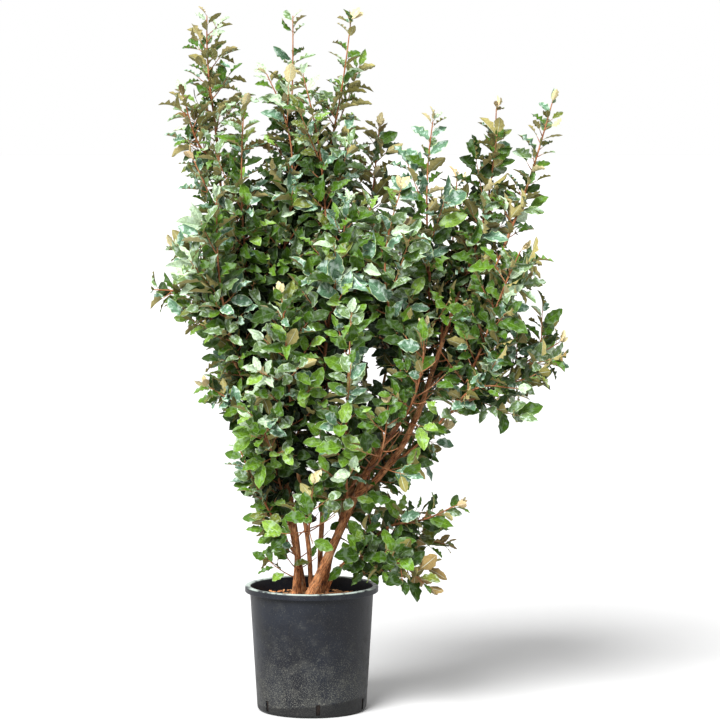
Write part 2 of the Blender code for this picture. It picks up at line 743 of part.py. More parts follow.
def plan_shoots(limbs):
    """The path of each mass's shoot, out of its limb and up to where its last leaf starts."""
    shoots = {}
    for name, (limb_name, share, tip, leave, arrive, _, _) in MASSES.items():
        limb = limbs[limb_name]
        tip = Vector(tip) - unit(arrive) * (LEAF_LENGTH - LEAF_SINK)
        if share == 1:
            start, leave = along_path(limb.points, 1.0)
            start += leave * GAP
            clear = start + leave * COLLAR
        else:
            start, clear = limb.side_start(share, leave)
        points = bent_path(start, tip, leave, arrive, SHOOT_STEP, LIMB_KINK, "leaves_" + name)
        points.insert(1, clear)
        shoots[name] = points
    return shoots


def main():
    clear_scene()
    plant = new_collection("potted_silverberry")
    cutters = new_collection("cutters")
    materials = {name: new_material(name) for name in MATERIALS}

    build_pot(plant, cutters, materials["pot_plastic"])
    build_soil(plant, materials["soil"])

    limbs = plan_stems()
    for limb in list(limbs.values()):
        build_stem(limb, plant, materials["bark"])
    plan_boughs(limbs)
    seats = build_seats(limbs, cutters)
    for name, (parent, share, *_) in BOUGHS.items():
        bough = build_bough(limbs[name], plant, materials["bark"])
        if share < 1:
            cut_seat(bough, seats[parent])

    shoots = plan_shoots(limbs)
    space = Space(limbs, shoots)
    leaf, twig = leaf_solid(), twig_solid()
    section = three_sided_section(cutters)
    total = 0
    for name, points in shoots.items():
        limb, share = MASSES[name][:2]
        mass = Mass(name, points, space, leaf, twig)
        mass.grow()
        mass.build(seats[limb] if share < 1 else None, plant, section, materials["foliage"])
        total += len(mass.leaves)
        print(name, len(mass.leaves), "leaves,", len(mass.twigs), "twigs")
    print(total, "leaves in all")


main()
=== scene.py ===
import math
import random

import bpy
import numpy as np
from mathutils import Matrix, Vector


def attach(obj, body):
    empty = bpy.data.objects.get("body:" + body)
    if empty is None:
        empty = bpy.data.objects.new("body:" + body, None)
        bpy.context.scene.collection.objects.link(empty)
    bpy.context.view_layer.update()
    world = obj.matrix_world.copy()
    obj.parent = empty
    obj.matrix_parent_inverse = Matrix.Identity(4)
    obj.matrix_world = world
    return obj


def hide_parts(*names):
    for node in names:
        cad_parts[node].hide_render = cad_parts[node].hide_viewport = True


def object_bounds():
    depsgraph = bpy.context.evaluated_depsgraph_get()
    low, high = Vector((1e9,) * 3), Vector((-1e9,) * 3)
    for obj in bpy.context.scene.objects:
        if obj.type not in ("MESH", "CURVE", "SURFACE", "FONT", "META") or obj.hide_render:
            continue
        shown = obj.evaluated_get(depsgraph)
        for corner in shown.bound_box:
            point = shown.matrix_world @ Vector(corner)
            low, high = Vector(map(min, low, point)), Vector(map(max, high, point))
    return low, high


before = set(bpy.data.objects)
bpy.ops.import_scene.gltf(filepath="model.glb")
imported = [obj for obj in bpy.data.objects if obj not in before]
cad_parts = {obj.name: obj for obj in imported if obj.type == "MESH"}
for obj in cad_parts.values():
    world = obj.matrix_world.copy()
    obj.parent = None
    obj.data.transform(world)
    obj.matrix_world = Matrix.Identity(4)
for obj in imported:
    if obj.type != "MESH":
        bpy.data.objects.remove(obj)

# Potted ebbinges silverberry: the looks over the fixed frame. Metres, +Z up, the front faces -Y and the
# pot stands on z = 0. Limbs and masses follow the same plan and seeds as the frame's own.

cadBox = [[float(value) for value in corner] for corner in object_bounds()]
boxLow, boxHigh = np.array(cadBox)
soilTop = 0.293
eye = (0.1265, -7.5, 1.475)  # where the photo was taken from
plan = dict(seatGap=0.0003, limbStep=0.065, shootStep=0.110, kink=0.0022, tipLeaf=0.110)  # as in the frame

stems = {  # foot, end, direction at the foot and at the end, both diameters
    "right": ((-0.009, -0.034), (0.22, -0.03, 0.744), (0.46, 0, 0.89), (0.62, 0, 0.78), (0.028, 0.011)),
    "left": ((-0.048, -0.012), (-0.103, -0.055, 0.9), (0.18, 0, 1), (0, 0, 1), (0.015, 0.008)),
    "left_inner": ((-0.036, 0.03), (-0.138, 0.01, 0.93), (0.08, 0.06, 1), (-0.15, -0.05, 1), (0.014, 0.008)),
    "centre": ((0, 0.014), (-0.042, -0.115, 0.7), (-0.05, -0.05, 1), (-0.12, -0.3, 1), (0.014, 0.008)),
    "centre_right": ((0.016, 0.042), (0.012, 0.03, 1.12), (0.08, 0.08, 1), (-0.05, -0.02, 1), (0.015, 0.008)),
    "low_right": ((0.034, 0.004), (0.185, -0.035, 0.475), (0.12, 0, 1), (0.7, -0.1, 0.7), (0.011, 0.007)),
    "back_left": ((-0.022, 0.066), (-0.16, 0.185, 0.83), (-0.1, 0.15, 1), (-0.15, 0.1, 1), (0.015, 0.008)),
    "back_right": ((0.032, 0.07), (0.185, 0.205, 0.82), (0.1, 0.15, 1), (0.2, 0.1, 1), (0.015, 0.008)),
}
boughs = {  # parent, share of its length, end, both directions, both diameters
    "right_outer": ("right", 0.6, (0.39, -0.03, 1.11), (0.8, -0.1, 0.5), (0.38, 0, 0.9), (0.0175, 0.0085)),
    "right_thin": ("right_outer", 0.16, (0.41, -0.13, 0.893),
                   (0.7, -0.4, 0.5), (0.35, 0, 0.94), (0.007, 0.005)),
    "far_right": ("right_outer", 0.88, (0.5, -0.05, 1.22), (0.7, -0.1, 0.4), (0.35, 0, 1), (0.007, 0.005)),
    "right_upper": ("right", 1, (0.302, -0.045, 1.03), None, (0.1, -0.05, 1), (0.01, 0.007)),
    "right_centre": ("centre_right", 0.62, (0.12, 0.1, 1.08),
                     (0.4, 0.5, 0.7), (0.15, 0.05, 1), (0.009, 0.007)),
    "centre_front": ("centre_right", 0.5, (0.035, -0.125, 0.93),
                     (0, -0.8, 0.5), (0.1, -0.1, 1), (0.009, 0.007)),
    "centre_leader": ("left", 1, (-0.088, 0.01, 1.12), None, (0.08, 0.12, 1), (0.008, 0.006)),
    "left_tall": ("left", 0.62, (-0.243, 0.035, 1.46), (-0.5, 0.3, 0.7), (-0.08, 0, 1), (0.01, 0.006)),
    "far_left": ("left_tall", 0.35, (-0.19, -0.06, 1.156), (-0.3, -0.6, 0.7), (-0.15, 0, 1), (0.008, 0.006)),
    "left_out": ("left", 0.48, (-0.215, -0.08, 0.95), (-0.55, -0.1, 0.8), (-0.5, 0, 0.8), (0.008, 0.006)),
}
masses = {  # limb, share of its length, tip, both directions, reach, bare length
    "left_leader": ("left_tall", 1, (-0.272, 0.05, 1.842), None, (0, 0, 1), 0.095, 0.03),
    "upper_left": ("left_tall", 0.96, (-0.336, -0.02, 1.633), (-0.6, -0.5, 0.3), (-0.25, 0, 1), 0.08, 0.03),
    "far_left_shoot": ("far_left", 1, (-0.312, -0.06, 1.463), None, (-0.45, 0, 1), 0.08, 0.03),
    "left_inner_shoot": ("left_inner", 1, (-0.168, -0.13, 1.6), None, (0.05, 0, 1), 0.095, 0.1),
    "centre_leader": ("centre_leader", 1, (-0.049, 0.08, 1.843), None, (0, 0, 1), 0.095, 0.12),
    "centre_thin": ("centre_right", 0.93, (-0.026, -0.07, 1.682),
                    (0.2, -0.7, 0.5), (-0.25, 0, 1), 0.075, 0.1),
    "right_centre_leader": ("centre_right", 1, (0.106, -0.01, 1.825), None, (0.12, 0, 1), 0.09, 0.09),
    "right_centre_shoot": ("right_centre", 1, (0.18, 0.14, 1.55), None, (0.1, 0, 1), 0.09, 0.03),
    "right_upper_shoot": ("right_upper", 1, (0.317, -0.06, 1.566), None, (0.12, 0, 1), 0.09, 0.03),
    "right_back_shoot": ("right_outer", 0.74, (0.384, 0.15, 1.41),
                         (0, 0.9, 0.5), (0.05, 0.05, 1), 0.095, 0.1),
    "right_leader": ("right_outer", 1, (0.48, -0.02, 1.6), None, (0.04, 0, 1), 0.09, 0.03),
    "far_right_shoot": ("far_right", 1, (0.628, -0.06, 1.613), None, (0.28, 0, 1), 0.08, 0.03),
    "right_shoulder": ("right_outer", 0.55, (0.572, 0.13, 1.175), (0.5, 0.7, 0.4), (0.6, 0.1, 0.7), 0.1, 0.1),
    "far_right_side": ("right_thin", 0.74, (0.66, -0.11, 0.985), (1, 0, 0.05), (0.85, 0, 0.5), 0.125, 0.06),
    "right_middle": ("right_thin", 1, (0.545, -0.18, 1.235), None, (0.4, -0.05, 0.9), 0.11, 0.01),
    "right_low_side": ("right_thin", 0.6, (0.55, -0.2, 0.86), (0.6, -0.8, 0.2), (0.9, 0, -0.05), 0.09, 0.03),
    "right_under": ("right_outer", 0.08, (0.365, 0.06, 0.745), (0.2, 0.9, 0), (0.8, 0, 0.5), 0.085, 0.03),
    "low_right": ("low_right", 1, (0.398, -0.1, 0.56), None, (0.9, 0, 0.4), 0.115, 0.01),
    "low_right_hanging": ("low_right", 0.4, (0.32, -0.13, 0.325),
                          (0.5, -0.8, 0.3), (0.75, 0, -0.65), 0.115, 0.02),
    "low_right_middle": ("low_right", 0.7, (0.375, 0.06, 0.42), (0.5, 0.8, 0), (0.8, 0, -0.2), 0.115, 0.02),
    "right_front": ("right", 0.93, (0.29, -0.25, 1.04), (0.1, -0.9, 0.2), (0.05, -0.1, 1), 0.11, 0.03),
    "right_front_low": ("right", 0.74, (0.2, -0.25, 0.85), (0.1, -0.9, 0.2), (0.1, -0.1, 1), 0.1, 0.03),
    "right_front_upper": ("right_upper", 0.45, (0.238, -0.18, 1.39),
                          (-0.4, -0.7, 0.5), (0.3, -0.05, 1), 0.1, 0.03),
    "centre_front": ("centre_front", 1, (0.101, -0.17, 1.36), None, (0.15, 0, 1), 0.105, 0.01),
    "front_shoot": ("right", 0.52, (0.106, -0.26, 1.08), (-0.1, -0.9, 0.3), (0.05, 0, 1), 0.105, 0.1),
    "front_left": ("centre", 1, (-0.074, -0.26, 1.13), None, (-0.1, -0.05, 1), 0.11, 0.01),
    "front_low": ("centre", 0.42, (0.01, -0.21, 0.64), (0.2, -0.9, 0.2), (0.1, -0.3, 0.9), 0.09, 0.04),
    "front_left_low": ("left", 0.58, (-0.14, -0.24, 0.86), (-0.1, -0.9, 0.3), (-0.2, -0.2, 0.9), 0.1, 0.04),
    "left_front_upper": ("left_inner", 0.86, (-0.235, -0.215, 1.37),
                         (-0.5, -0.8, 0.3), (0, 0, 1), 0.105, 0.12),
    "left_low": ("left", 0.32, (-0.284, -0.12, 0.873), (-0.35, -0.5, 0.8), (-0.75, -0.1, 0.5), 0.08, 0.1),
    "far_left": ("left_out", 1, (-0.437, -0.08, 1.11), None, (-0.95, 0, 0.1), 0.09, 0.01),
    "left_shoulder": ("left_tall", 0.28, (-0.38, 0.12, 1.22), (-0.4, 0.7, 0.6), (-0.85, 0, 0.5), 0.1, 0.05),
    "left_under": ("left", 0.4, (-0.262, 0.04, 0.86), (-0.6, 0.6, 0.5), (-0.7, 0, 0.5), 0.09, 0.04),
    "left_bottom": ("left", 0.18, (-0.195, -0.1, 0.72), (-0.4, -0.5, 0.7), (-0.4, -0.05, 0.9), 0.09, 0.05),
    "back_left": ("back_left", 1, (-0.23, 0.27, 1.38), None, (-0.05, 0, 1), 0.115, 0.2),
    "back_centre": ("back_left", 0.62, (0.01, 0.31, 1.33), (0.8, 0.5, 0.6), (0, 0.05, 1), 0.115, 0.32),
    "back_right": ("back_right", 1, (0.24, 0.31, 1.28), None, (0.05, 0.05, 1), 0.115, 0.12),
    "back_far_right": ("back_right", 0.55, (0.48, 0.24, 1.12), (0.8, 0.1, 0.6), (0.4, 0.1, 0.8), 0.11, 0.24),
    "back_low_right": ("back_right", 0.3, (0.24, 0.27, 0.7), (0.4, 0.8, 0.4), (0.5, 0.3, 0.6), 0.1, 0.04),
    "centre_left_shoot": ("centre_leader", 0.8, (-0.126, 0, 1.686),
                          (0.1, -0.6, 0.7), (-0.45, 0, 1), 0.085, 0.06),
}


# Paths and grids


def unit(vector):
    vector = np.asarray(vector, float)
    return vector / np.linalg.norm(vector)


def units(vectors):
    return vectors / np.linalg.norm(vectors, axis=-1, keepdims=True)


# (2t^3-3t^2+1)·start + (t^3-2t^2+t)·leave + (3t^2-2t^3)·end + (t^3-t^2)·arrive
def cubic(t, start, end, leave, arrive):
    points = (2 * t**3 - 3 * t**2 + 1) * start + (t**3 - 2 * t**2 + t) * leave
    return points + ((3 * t**2 - 2 * t**3) * end + (t**3 - t**2) * arrive)


# One cubic piece in equal steps, with a small seeded kink at its inner points
def bentPath(seed, start, end, leave, arrive, step):
    start, end = np.array(start, float), np.array(end, float)
    chord = np.linalg.norm(end - start)
    count = max(3, math.ceil(chord / step))
    t = np.linspace(0, 1, count + 1)[:, None]
    points = cubic(t, start, end, unit(leave) * chord, unit(arrive) * chord)
    chance = random.Random(seed)
    for index in range(2, count - 1):
        points[index] += [chance.uniform(-plan["kink"], plan["kink"]) for _ in range(3)]
    return points


def pathLengths(points):
    return np.concatenate([[0], np.cumsum(np.linalg.norm(np.diff(points, axis=0), axis=1))])


# The point at a share of a limb's length, and the limb's direction there
def placeAlong(points, share):
    lengths = pathLengths(points)
    left = share * lengths[-1]
    index = min(int(np.searchsorted(lengths, left, "right")) - 1, len(points) - 2)
    run = points[index + 1] - points[index]
    return points[index] + run * (left - lengths[index]) / (lengths[index + 1] - lengths[index]), unit(run)


# Cubic pieces through the points, each with the slopes that its neighbours give it
def smoothPath(points, step):
    lengths = pathLengths(points)
    slopes = np.gradient(points, lengths, axis=0)
    along = np.linspace(0, lengths[-1], max(4, int(lengths[-1] / step)) + 1)
    piece = np.clip(np.searchsorted(lengths, along, "right") - 1, 0, len(points) - 2)
    run = (lengths[piece + 1] - lengths[piece])[:, None]
    t = (along - lengths[piece])[:, None] / run
    return cubic(t, points[piece], points[piece + 1], run * slopes[piece], run * slopes[piece + 1])


def tangents(path):
    return units(np.gradient(path, axis=-2))


# The point and the direction at a length along a smooth path
def spotAt(away, lengths, path, along):
    spot = [np.interp(away, lengths, path[:, axis]) for axis in range(3)]
    here = [np.interp(away, lengths, along[:, axis]) for axis in range(3)]
    return np.array(spot), unit(here)


# Two directions square to each path's own, turned as little as one fixed axis allows
def squareTo(along, axis=None):
    if axis is None:
        axis = np.eye(3)[np.argmin(np.abs(along).reshape(-1, 3).max(axis=0))]
    across = units(np.cross(axis, along))
    return across, np.cross(along, across)


# side = cos turn·across + sin turn·over, square to the direction
def sideOf(direction, turn):
    across, over = squareTo(direction[None])
    return math.cos(turn) * across[0] + math.sin(turn) * over[0]


# ring(s, a) = path(s) + radius(s, a)·(cos a·across(s) + sin a·over(s)) for each path, then its two poles
def tubePoints(paths, radii, sides, axis=None):
    across, over = squareTo(tangents(paths), axis)
    angle = np.arange(sides) * math.tau / sides
    radii = radii if radii.ndim == paths.ndim else radii[..., None]
    out = np.cos(angle)[:, None] * across[..., None, :] + np.sin(angle)[:, None] * over[..., None, :]
    rings = paths[..., None, :] + radii[..., None] * out
    return np.concatenate([rings.reshape(len(paths), -1, 3), paths[:, :1], paths[:, -1:]], axis=1)


# Faces and map places of a grid whose columns close on themselves, and of a fan to a pole at each end
def tubeFaces(rows, columns):
    row, column = np.meshgrid(np.arange(rows - 1), np.arange(columns), indexing="ij")
    row, column = row.ravel(), column.ravel()
    onward = (column + 1) % columns
    quads = np.stack([row * columns + column, row * columns + onward,
                      (row + 1) * columns + onward, (row + 1) * columns + column], axis=1)
    places = np.stack([column, row, column + 1, row, column + 1, row + 1, column, row + 1], axis=1)
    column = np.arange(columns)
    onward = (column + 1) % columns
    first, last, end = rows * columns, rows * columns + 1, (rows - 1) * columns
    fans = np.concatenate([
        np.stack([np.full(columns, first), onward, column], axis=1),
        np.stack([np.full(columns, last), end + column, end + onward], axis=1),
    ])
    low, high = np.zeros(columns), np.full(columns, rows - 1)
    fanPlaces = np.concatenate([
        np.stack([column, low, column + 1, low, column, low], axis=1),
        np.stack([column, high, column, high, column + 1, high], axis=1),
    ])
    return (quads, places.reshape(-1, 4, 2).astype(float)), (fans, fanPlaces.reshape(-1, 3, 2))


class Gathered:
    # Many small shapes as arrays, until one mesh is made of them
    def __init__(self):
        self.points, self.faces, self.places, self.count = [], [], [], 0

    # copies: an array of (copy, vertex, 3). A part is the faces of one copy and their places on the map,
    # the same for all copies or given for each
    def add(self, copies, *parts):
        count, size = copies.shape[:2]
        shifts = (np.arange(count) * size)[:, None, None] + self.count
        for faces, places in parts:
            self.faces.extend((faces[None] + shifts).reshape(-1, faces.shape[1]).tolist())
            self.places.append((places + np.zeros((count, *places.shape[-3:]))).reshape(-1, 2))
        self.points.append(copies.reshape(-1, 3))
        self.count += count * size

    # One tube, whose map runs round it and along it, both in metres
    def addTube(self, path, radii, sides):
        parts = tubeFaces(len(path), sides)
        for _, places in parts:
            places[..., 0] *= math.tau * float(np.mean(radii)) / sides
            places[..., 1] = pathLengths(path)[places[..., 1].astype(int)]
        self.add(tubePoints(path[None], radii[None], sides), *parts)

    def mesh(self, name, mapNames, material, sharpAngle=None):
        mesh = bpy.data.meshes.new(name)
        mesh.from_pydata(np.concatenate(self.points), [], self.faces)
        flat = np.concatenate(self.places).astype(np.float32).ravel()
        for mapName in mapNames:
            mesh.uv_layers.new(name=mapName).data.foreach_set("uv", flat)
        mesh.shade_smooth()
        if sharpAngle:
            mesh.set_sharp_from_angle(angle=math.radians(sharpAngle))
        mesh.materials.append(material)
        return mesh


# Many thin tubes at once, all with the same number of rings
def manyTubes(paths, radii, sides):
    first = tangents(paths)[:, :1]
    axis = np.where(np.abs(first[..., 2:]) < 0.8, [[[0.0, 0.0, 1.0]]], [[[1.0, 0.0, 0.0]]])
    gathered = Gathered()
    parts = tubeFaces(paths.shape[1], sides)
    gathered.add(tubePoints(paths, radii, sides, axis), *[(faces, places / sides) for faces, places in parts])
    return gathered


def place(name, mesh, replaced=()):
    piece = bpy.data.objects.new(name, mesh)
    bpy.context.scene.collection.objects.link(piece)
    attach(piece, "root")
    if replaced:
        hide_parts(*replaced)
    mesh.calc_loop_triangles()
    print(name, len(mesh.loop_triangles), "triangles")


# Shader maths: a socket that adds its Math nodes as an expression is worked out


# The shader's own numbers for a colour given as 0 to 255
def linear(colour):
    shares = [value / 255 for value in colour]
    return (*[v / 12.92 if v <= 0.04045 else ((v + 0.055) / 1.055) ** 2.4 for v in shares], 1.0)


class Wire:
    def __init__(self, look, socket):
        self.look, self.socket = look, socket

    def maths(self, operation, first, second=None):
        return self.look.node("ShaderNodeMath", {"operation": operation}, {0: first, 1: second})

    def __add__(self, other):
        return self.maths("ADD", self, other)

    def __sub__(self, other):
        return self.maths("SUBTRACT", self, other)

    def __rsub__(self, other):
        return self.maths("SUBTRACT", other, self)

    def __mul__(self, other):
        return self.maths("MULTIPLY", self, other)

    def __truediv__(self, other):
        return self.maths("DIVIDE", self, other)

    def __gt__(self, other):
        return self.maths("GREATER_THAN", self, other)

    def __abs__(self):
        return self.maths("ABSOLUTE", self)

    __radd__ = __add__
    __rmul__ = __mul__

    def fraction(self):
        return self.maths("FRACT", self)

    def part(self, name):
        return Wire(self.look, self.socket.node.outputs[name])


class Look:
    # One material: its tree, and the shader that ends it
    def __init__(self, name, colour, **numbers):
        self.material = bpy.data.materials.new(name)
        self.material.use_nodes = True
        self.material.diffuse_color = linear(colour)
        self.tree = self.material.node_tree
        self.shader = self.tree.nodes["Principled BSDF"]
        self.shader.inputs["Base Color"].default_value = linear(colour)
        for socket, value in numbers.items():
            self.shader.inputs[socket.replace("_", " ")].default_value = value

    def node(self, kind, settings=None, sockets=None, out=0):
        made = self.tree.nodes.new(kind)
        for setting, value in (settings or {}).items():
            setattr(made, setting, value)
        for socket, value in (sockets or {}).items():
            if isinstance(value, Wire):
                self.tree.links.new(value.socket, made.inputs[socket])
            elif value is not None:
                made.inputs[socket].default_value = value
        return Wire(self, made.outputs[out])

    # A colour of three numbers is one from 0 to 255
    def mix(self, mask, first, second):
        sockets = {0: mask}
        for socket, colour in ((6, first), (7, second)):
            isPlain = isinstance(colour, tuple) and len(colour) == 3
            sockets[socket] = linear(colour) if isPlain else colour
        return self.node("ShaderNodeMix", {"data_type": "RGBA"}, sockets, 2)

    # 0 below the first number, 1 above the second, eased between
    def ease(self, value, low, high):
        sockets = {"Value": value, "From Min": low, "From Max": high}
        return self.node("ShaderNodeMapRange", {"interpolation_type": "SMOOTHSTEP"}, sockets)

    def noise(self, coordinates, scale, detail=3.0, roughness=0.5):
        sockets = {"Vector": coordinates, "Scale": scale, "Detail": detail, "Roughness": roughness}
        return self.node("ShaderNodeTexNoise", {}, sockets)

    def cells(self, coordinates, scale):
        return self.node("ShaderNodeTexVoronoi", {}, {"Vector": coordinates, "Scale": scale})

    def objectPlace(self):
        return self.node("ShaderNodeTexCoord", out="Object")

    def mapPlace(self, name):
        return self.node("ShaderNodeUVMap", {"uv_map": name})

    def stretched(self, coordinates, scale):
        return self.node("ShaderNodeMapping", {}, {"Vector": coordinates, "Scale": scale})

    def parted(self, coordinates):
        return self.node("ShaderNodeSeparateXYZ", {}, {"Vector": coordinates})

    def bump(self, height, strength, distance):
        return self.node("ShaderNodeBump", {}, {"Height": height, "Strength": strength, "Distance": distance})

    def finish(self, colour, roughness, normal):
        for name, value in (("Base Color", colour), ("Roughness", roughness), ("Normal", normal)):
            self.tree.links.new(value.socket, self.shader.inputs[name])
        return self.material


# The pot

pot = dict(
    height=0.328, rimRadius=0.175, neckRadius=0.162, footRadius=0.143, footRounding=0.010,
    wall=0.003, floor=0.004, lipHeight=0.016, lipSkirt=0.0025, lipRounding=0.004,
    slots=6, slotTurn=7.4, slotWidth=0.011, slotBottom=0.008, slotTop=0.036, slotRows=6,
    steps=150, closestSteps=0.012,  # edges round the pot, and the least angle from one to a slot's
    # rimHighlight is a pale painted highlight for the rim's edge
    plastic=(9, 11, 17), plasticLight=(19, 23, 31), dust=(92, 92, 84), band=(8, 8, 9), rimHighlight=(172, 184, 176),
)


# radius(z) = foot radius + (neck radius - foot radius)·z / height of the neck
def potWall(height):
    neck = pot["height"] - pot["lipHeight"]
    return pot["footRadius"] + (pot["neckRadius"] - pot["footRadius"]) * height / neck


# (x + r·cos a, z + r·sin a) between two angles, in degrees
def arc(x, z, radius, first, last, steps):
    angle = np.radians(np.linspace(first, last, steps))
    return np.stack([x + radius * np.cos(angle), z + radius * np.sin(angle)], axis=1)


# point(i, a) = (radius_i·sin a, -radius_i·cos a, height_i), for a profile that starts and ends on the axis
def turned(profile, angles):
    radius, height = profile[1:-1, 0][:, None], profile[1:-1, 1][:, None]
    rings = np.stack([radius * np.sin(angles), -radius * np.cos(angles), height + 0 * angles], axis=2)
    points = np.concatenate([rings.reshape(-1, 3), [[0, 0, profile[0, 1]], [0, 0, profile[-1, 1]]]])
    return points, tubeFaces(len(profile) - 2, len(angles))


# From the axis under the floor up the outside, over the lip and down the inside to the axis again
def potProfile():
    top, neck, wall = pot["height"], pot["height"] - pot["lipHeight"], pot["wall"]
    rim, skirt = pot["rimRadius"], pot["lipSkirt"]
    rounding, edge = pot["footRounding"], pot["lipRounding"]
    inner, underLip = potWall(top) - wall, top - wall - 0.001
    slotHeights = np.linspace(pot["slotBottom"], pot["slotTop"], pot["slotRows"])
    foot = arc(potWall(rounding) - rounding, rounding, rounding, -90, 0, 7)
    outerHeights = np.concatenate([slotHeights[2:], np.linspace(0.05, neck - 0.004, 12), [underLip]])
    innerHeights = np.concatenate([np.linspace(top - 0.02, 0.05, 10), slotHeights[::-1], [pot["floor"]]])
    return np.concatenate([
        [[0, 0], [0.05, 0], [potWall(0) - rounding - 0.01, 0]],
        foot[foot[:, 1] < pot["slotBottom"] - 0.0004],
        [[potWall(pot["slotBottom"]) - 0.0002, pot["slotBottom"]], [potWall(slotHeights[1]), slotHeights[1]]],
        np.stack([potWall(outerHeights), outerHeights], axis=1),
        [[rim - skirt - 0.0004, underLip], [rim - skirt, neck + 0.0015]],
        arc(rim - skirt / 2, neck + skirt / 2, skirt / 2, 180, 360, 7),
        [[rim - 0.0002, neck + 0.006], [rim, top - 0.006]],
        arc(rim - edge, top - edge, edge, 0, 90, 6),
        arc(inner + edge, top - edge, edge, 90, 180, 6),
        np.stack([potWall(innerHeights) - wall, innerHeights], axis=1),
        [[0.08, pot["floor"]], [0, pot["floor"]]],
    ])


# The turn from one angle to another, the short way round
def turnBetween(first, second):
    return (first - second + math.pi) % math.tau - math.pi


def potMesh():
    profile = potProfile()
    half = math.asin(pot["slotWidth"] / 2 / pot["footRadius"])
    middles = math.radians(pot["slotTurn"]) + np.arange(pot["slots"]) * math.tau / pot["slots"]
    edges = np.concatenate([middles - half, middles, middles + half]) % math.tau
    even = np.arange(pot["steps"]) * math.tau / pot["steps"]
    even = even[np.abs(even[:, None] - edges).min(axis=1) > pot["closestSteps"]]
    angles = np.sort(np.concatenate([even, edges]))
    points, ((quads, places), fans) = turned(profile, angles)

    # The quads inside a slot, on both sides of the wall, are left out and its edges are walled
    height, columns = profile[1:-1, 1], len(angles)
    isOutside = np.arange(len(height)) < len(height) // 2
    inSlot = (height > pot["slotBottom"] - 1e-6) & (height < pot["slotTop"] + 1e-6)
    outer, inner = np.flatnonzero(inSlot & isOutside), np.flatnonzero(inSlot & ~isOutside)[::-1]
    row, column = quads[:, 0] // columns, quads[:, 0] % columns
    middle = angles[column] + 0.5 * ((angles[(column + 1) % columns] - angles[column]) % math.tau)
    inTurn = np.abs(turnBetween(middle[:, None], middles)).min(axis=1) < half
    inRow = ((row >= outer[0]) & (row < outer[-1])) | ((row >= inner[-1]) & (row < inner[0]))
    kept = ~(inTurn & inRow)
    walls = []
    for turn in middles:
        left, right = (int(np.argmin(np.abs(turnBetween(angles, turn + side)))) for side in (-half, half))
        centre = (left + 1) % columns
        for side, order in ((left, 1), (right, -1)):
            for a, b, c, d in zip(outer, outer[1:], inner, inner[1:]):
                walls.append([corner * columns + side for corner in (a, c, d, b)][::order])
        for a, b, order in ((outer[0], inner[0], 1), (outer[-1], inner[-1], -1)):
            for first, second in ((left, centre), (centre, right)):
                corners = ((a, first), (a, second), (b, second), (b, first))
                walls.append([ring * columns + side for ring, side in corners][::order])
    gathered = Gathered()
    slotWalls = np.array(walls), np.zeros((len(walls), 4, 2))
    gathered.add(points[None], (quads[kept], places[kept]), slotWalls, fans)
    return gathered


def potLook():
    look = Look("dusty black plastic", pot["plastic"], Roughness=0.5, Specular_IOR_Level=0.25)
    spot = look.objectPlace()
    height = look.parted(spot).part("Z")
    cloud = look.noise(spot, 7.0, 4.0, 0.6)
    streaks = look.noise(look.stretched(spot, (60.0, 60.0, 4.0)), 1.0, 3.0)
    base = look.mix(look.ease(cloud, 0.35, 0.75), pot["plastic"], pot["plasticLight"])
    base = look.mix(look.ease(streaks, 0.5, 0.8) * 0.35, base, pot["plasticLight"])
    # Dust lies thicker toward the foot
    low = 1 - look.ease(height, 0.03, 0.26)
    flecks = look.noise(spot, 420.0, 2.0, 0.7)
    grime = look.noise(spot, 26.0, 5.0, 0.65)
    specks = look.ease(flecks + low * 0.09 + grime * 0.12, 0.66, 0.76)
    film = look.ease(grime + low * 0.16, 0.52, 0.80)
    base = look.mix(film * 0.09, base, pot["dust"])
    base = look.mix(specks * (0.35 + 0.30 * low), base, pot["dust"])
    # A darker band round the foot, aslant, and a pale painted highlight on the rim's edge
    slant = height - look.parted(spot).part("X") * 0.10
    base = look.mix((1 - look.ease(slant, 0.028, 0.034)) * 0.75, base, pot["band"])
    # A pale painted highlight along the rim's top edge, broken up by noise
    rim = look.ease(height, pot["height"] - 0.0035, pot["height"] - 0.0005)
    base = look.mix(rim * look.ease(grime + streaks * 0.3, 0.50, 0.72) * 0.7, base, pot["rimHighlight"])
    roughness = 0.42 + film * 0.25 + specks * 0.15
    return look.finish(base, roughness, look.bump(flecks * 0.4 + cloud, 0.25, 0.0015))


place("potShell", potMesh().mesh("potShell", ["turned"], potLook(), 40), ["pot"])

# The soil and the bark chips on it

soil = dict(
    wallGap=0.0008, underside=0.0045, rings=26, sides=96, wave=0.0022,
    chips=230, chipLength=(0.010, 0.034), chipWidth=(0.3, 0.6), chipThickness=(0.0016, 0.0045),
    chipTilt=0.35, chipWobble=0.22, ring=0.156, seed=11,
    earth=(62, 44, 32), earthDark=(30, 22, 17), chip=(176, 108, 58), chipPale=(214, 164, 112),
)


# top(x, y) = soil level + a few slow waves, less than 5 mm high
def soilLevel(x, y):
    wave = np.sin(31 * x + 17 * y + 0.6) * np.sin(23 * y - 12 * x)
    wave = wave + 0.5 * np.sin(71 * x - 0.4) * np.sin(64 * y + 1.1)
    return soilTop - soil["wave"] + soil["wave"] * wave


def soilMesh():
    wall = potWall(soilTop) - pot["wall"] - soil["wallGap"]
    low = potWall(0.005) - pot["wall"] - soil["wallGap"]
    rings = np.linspace(wall - 0.002, 0.004, soil["rings"])
    profile = np.concatenate([
        [[radius, soil["underside"]] for radius in (0, 0.07, low)],
        [[wall, soilTop - 0.003]],
        np.stack([rings, np.full(len(rings), soilTop)], axis=1),
        [[0, soilTop]],
    ])
    points, parts = turned(profile, np.arange(soil["sides"]) * math.tau / soil["sides"])
    top = points[:, 2] > soilTop - 0.001
    points[top, 2] = soilLevel(points[top, 0], points[top, 1])
    gathered = Gathered()
    gathered.add(points[None], *parts)
    return gathered


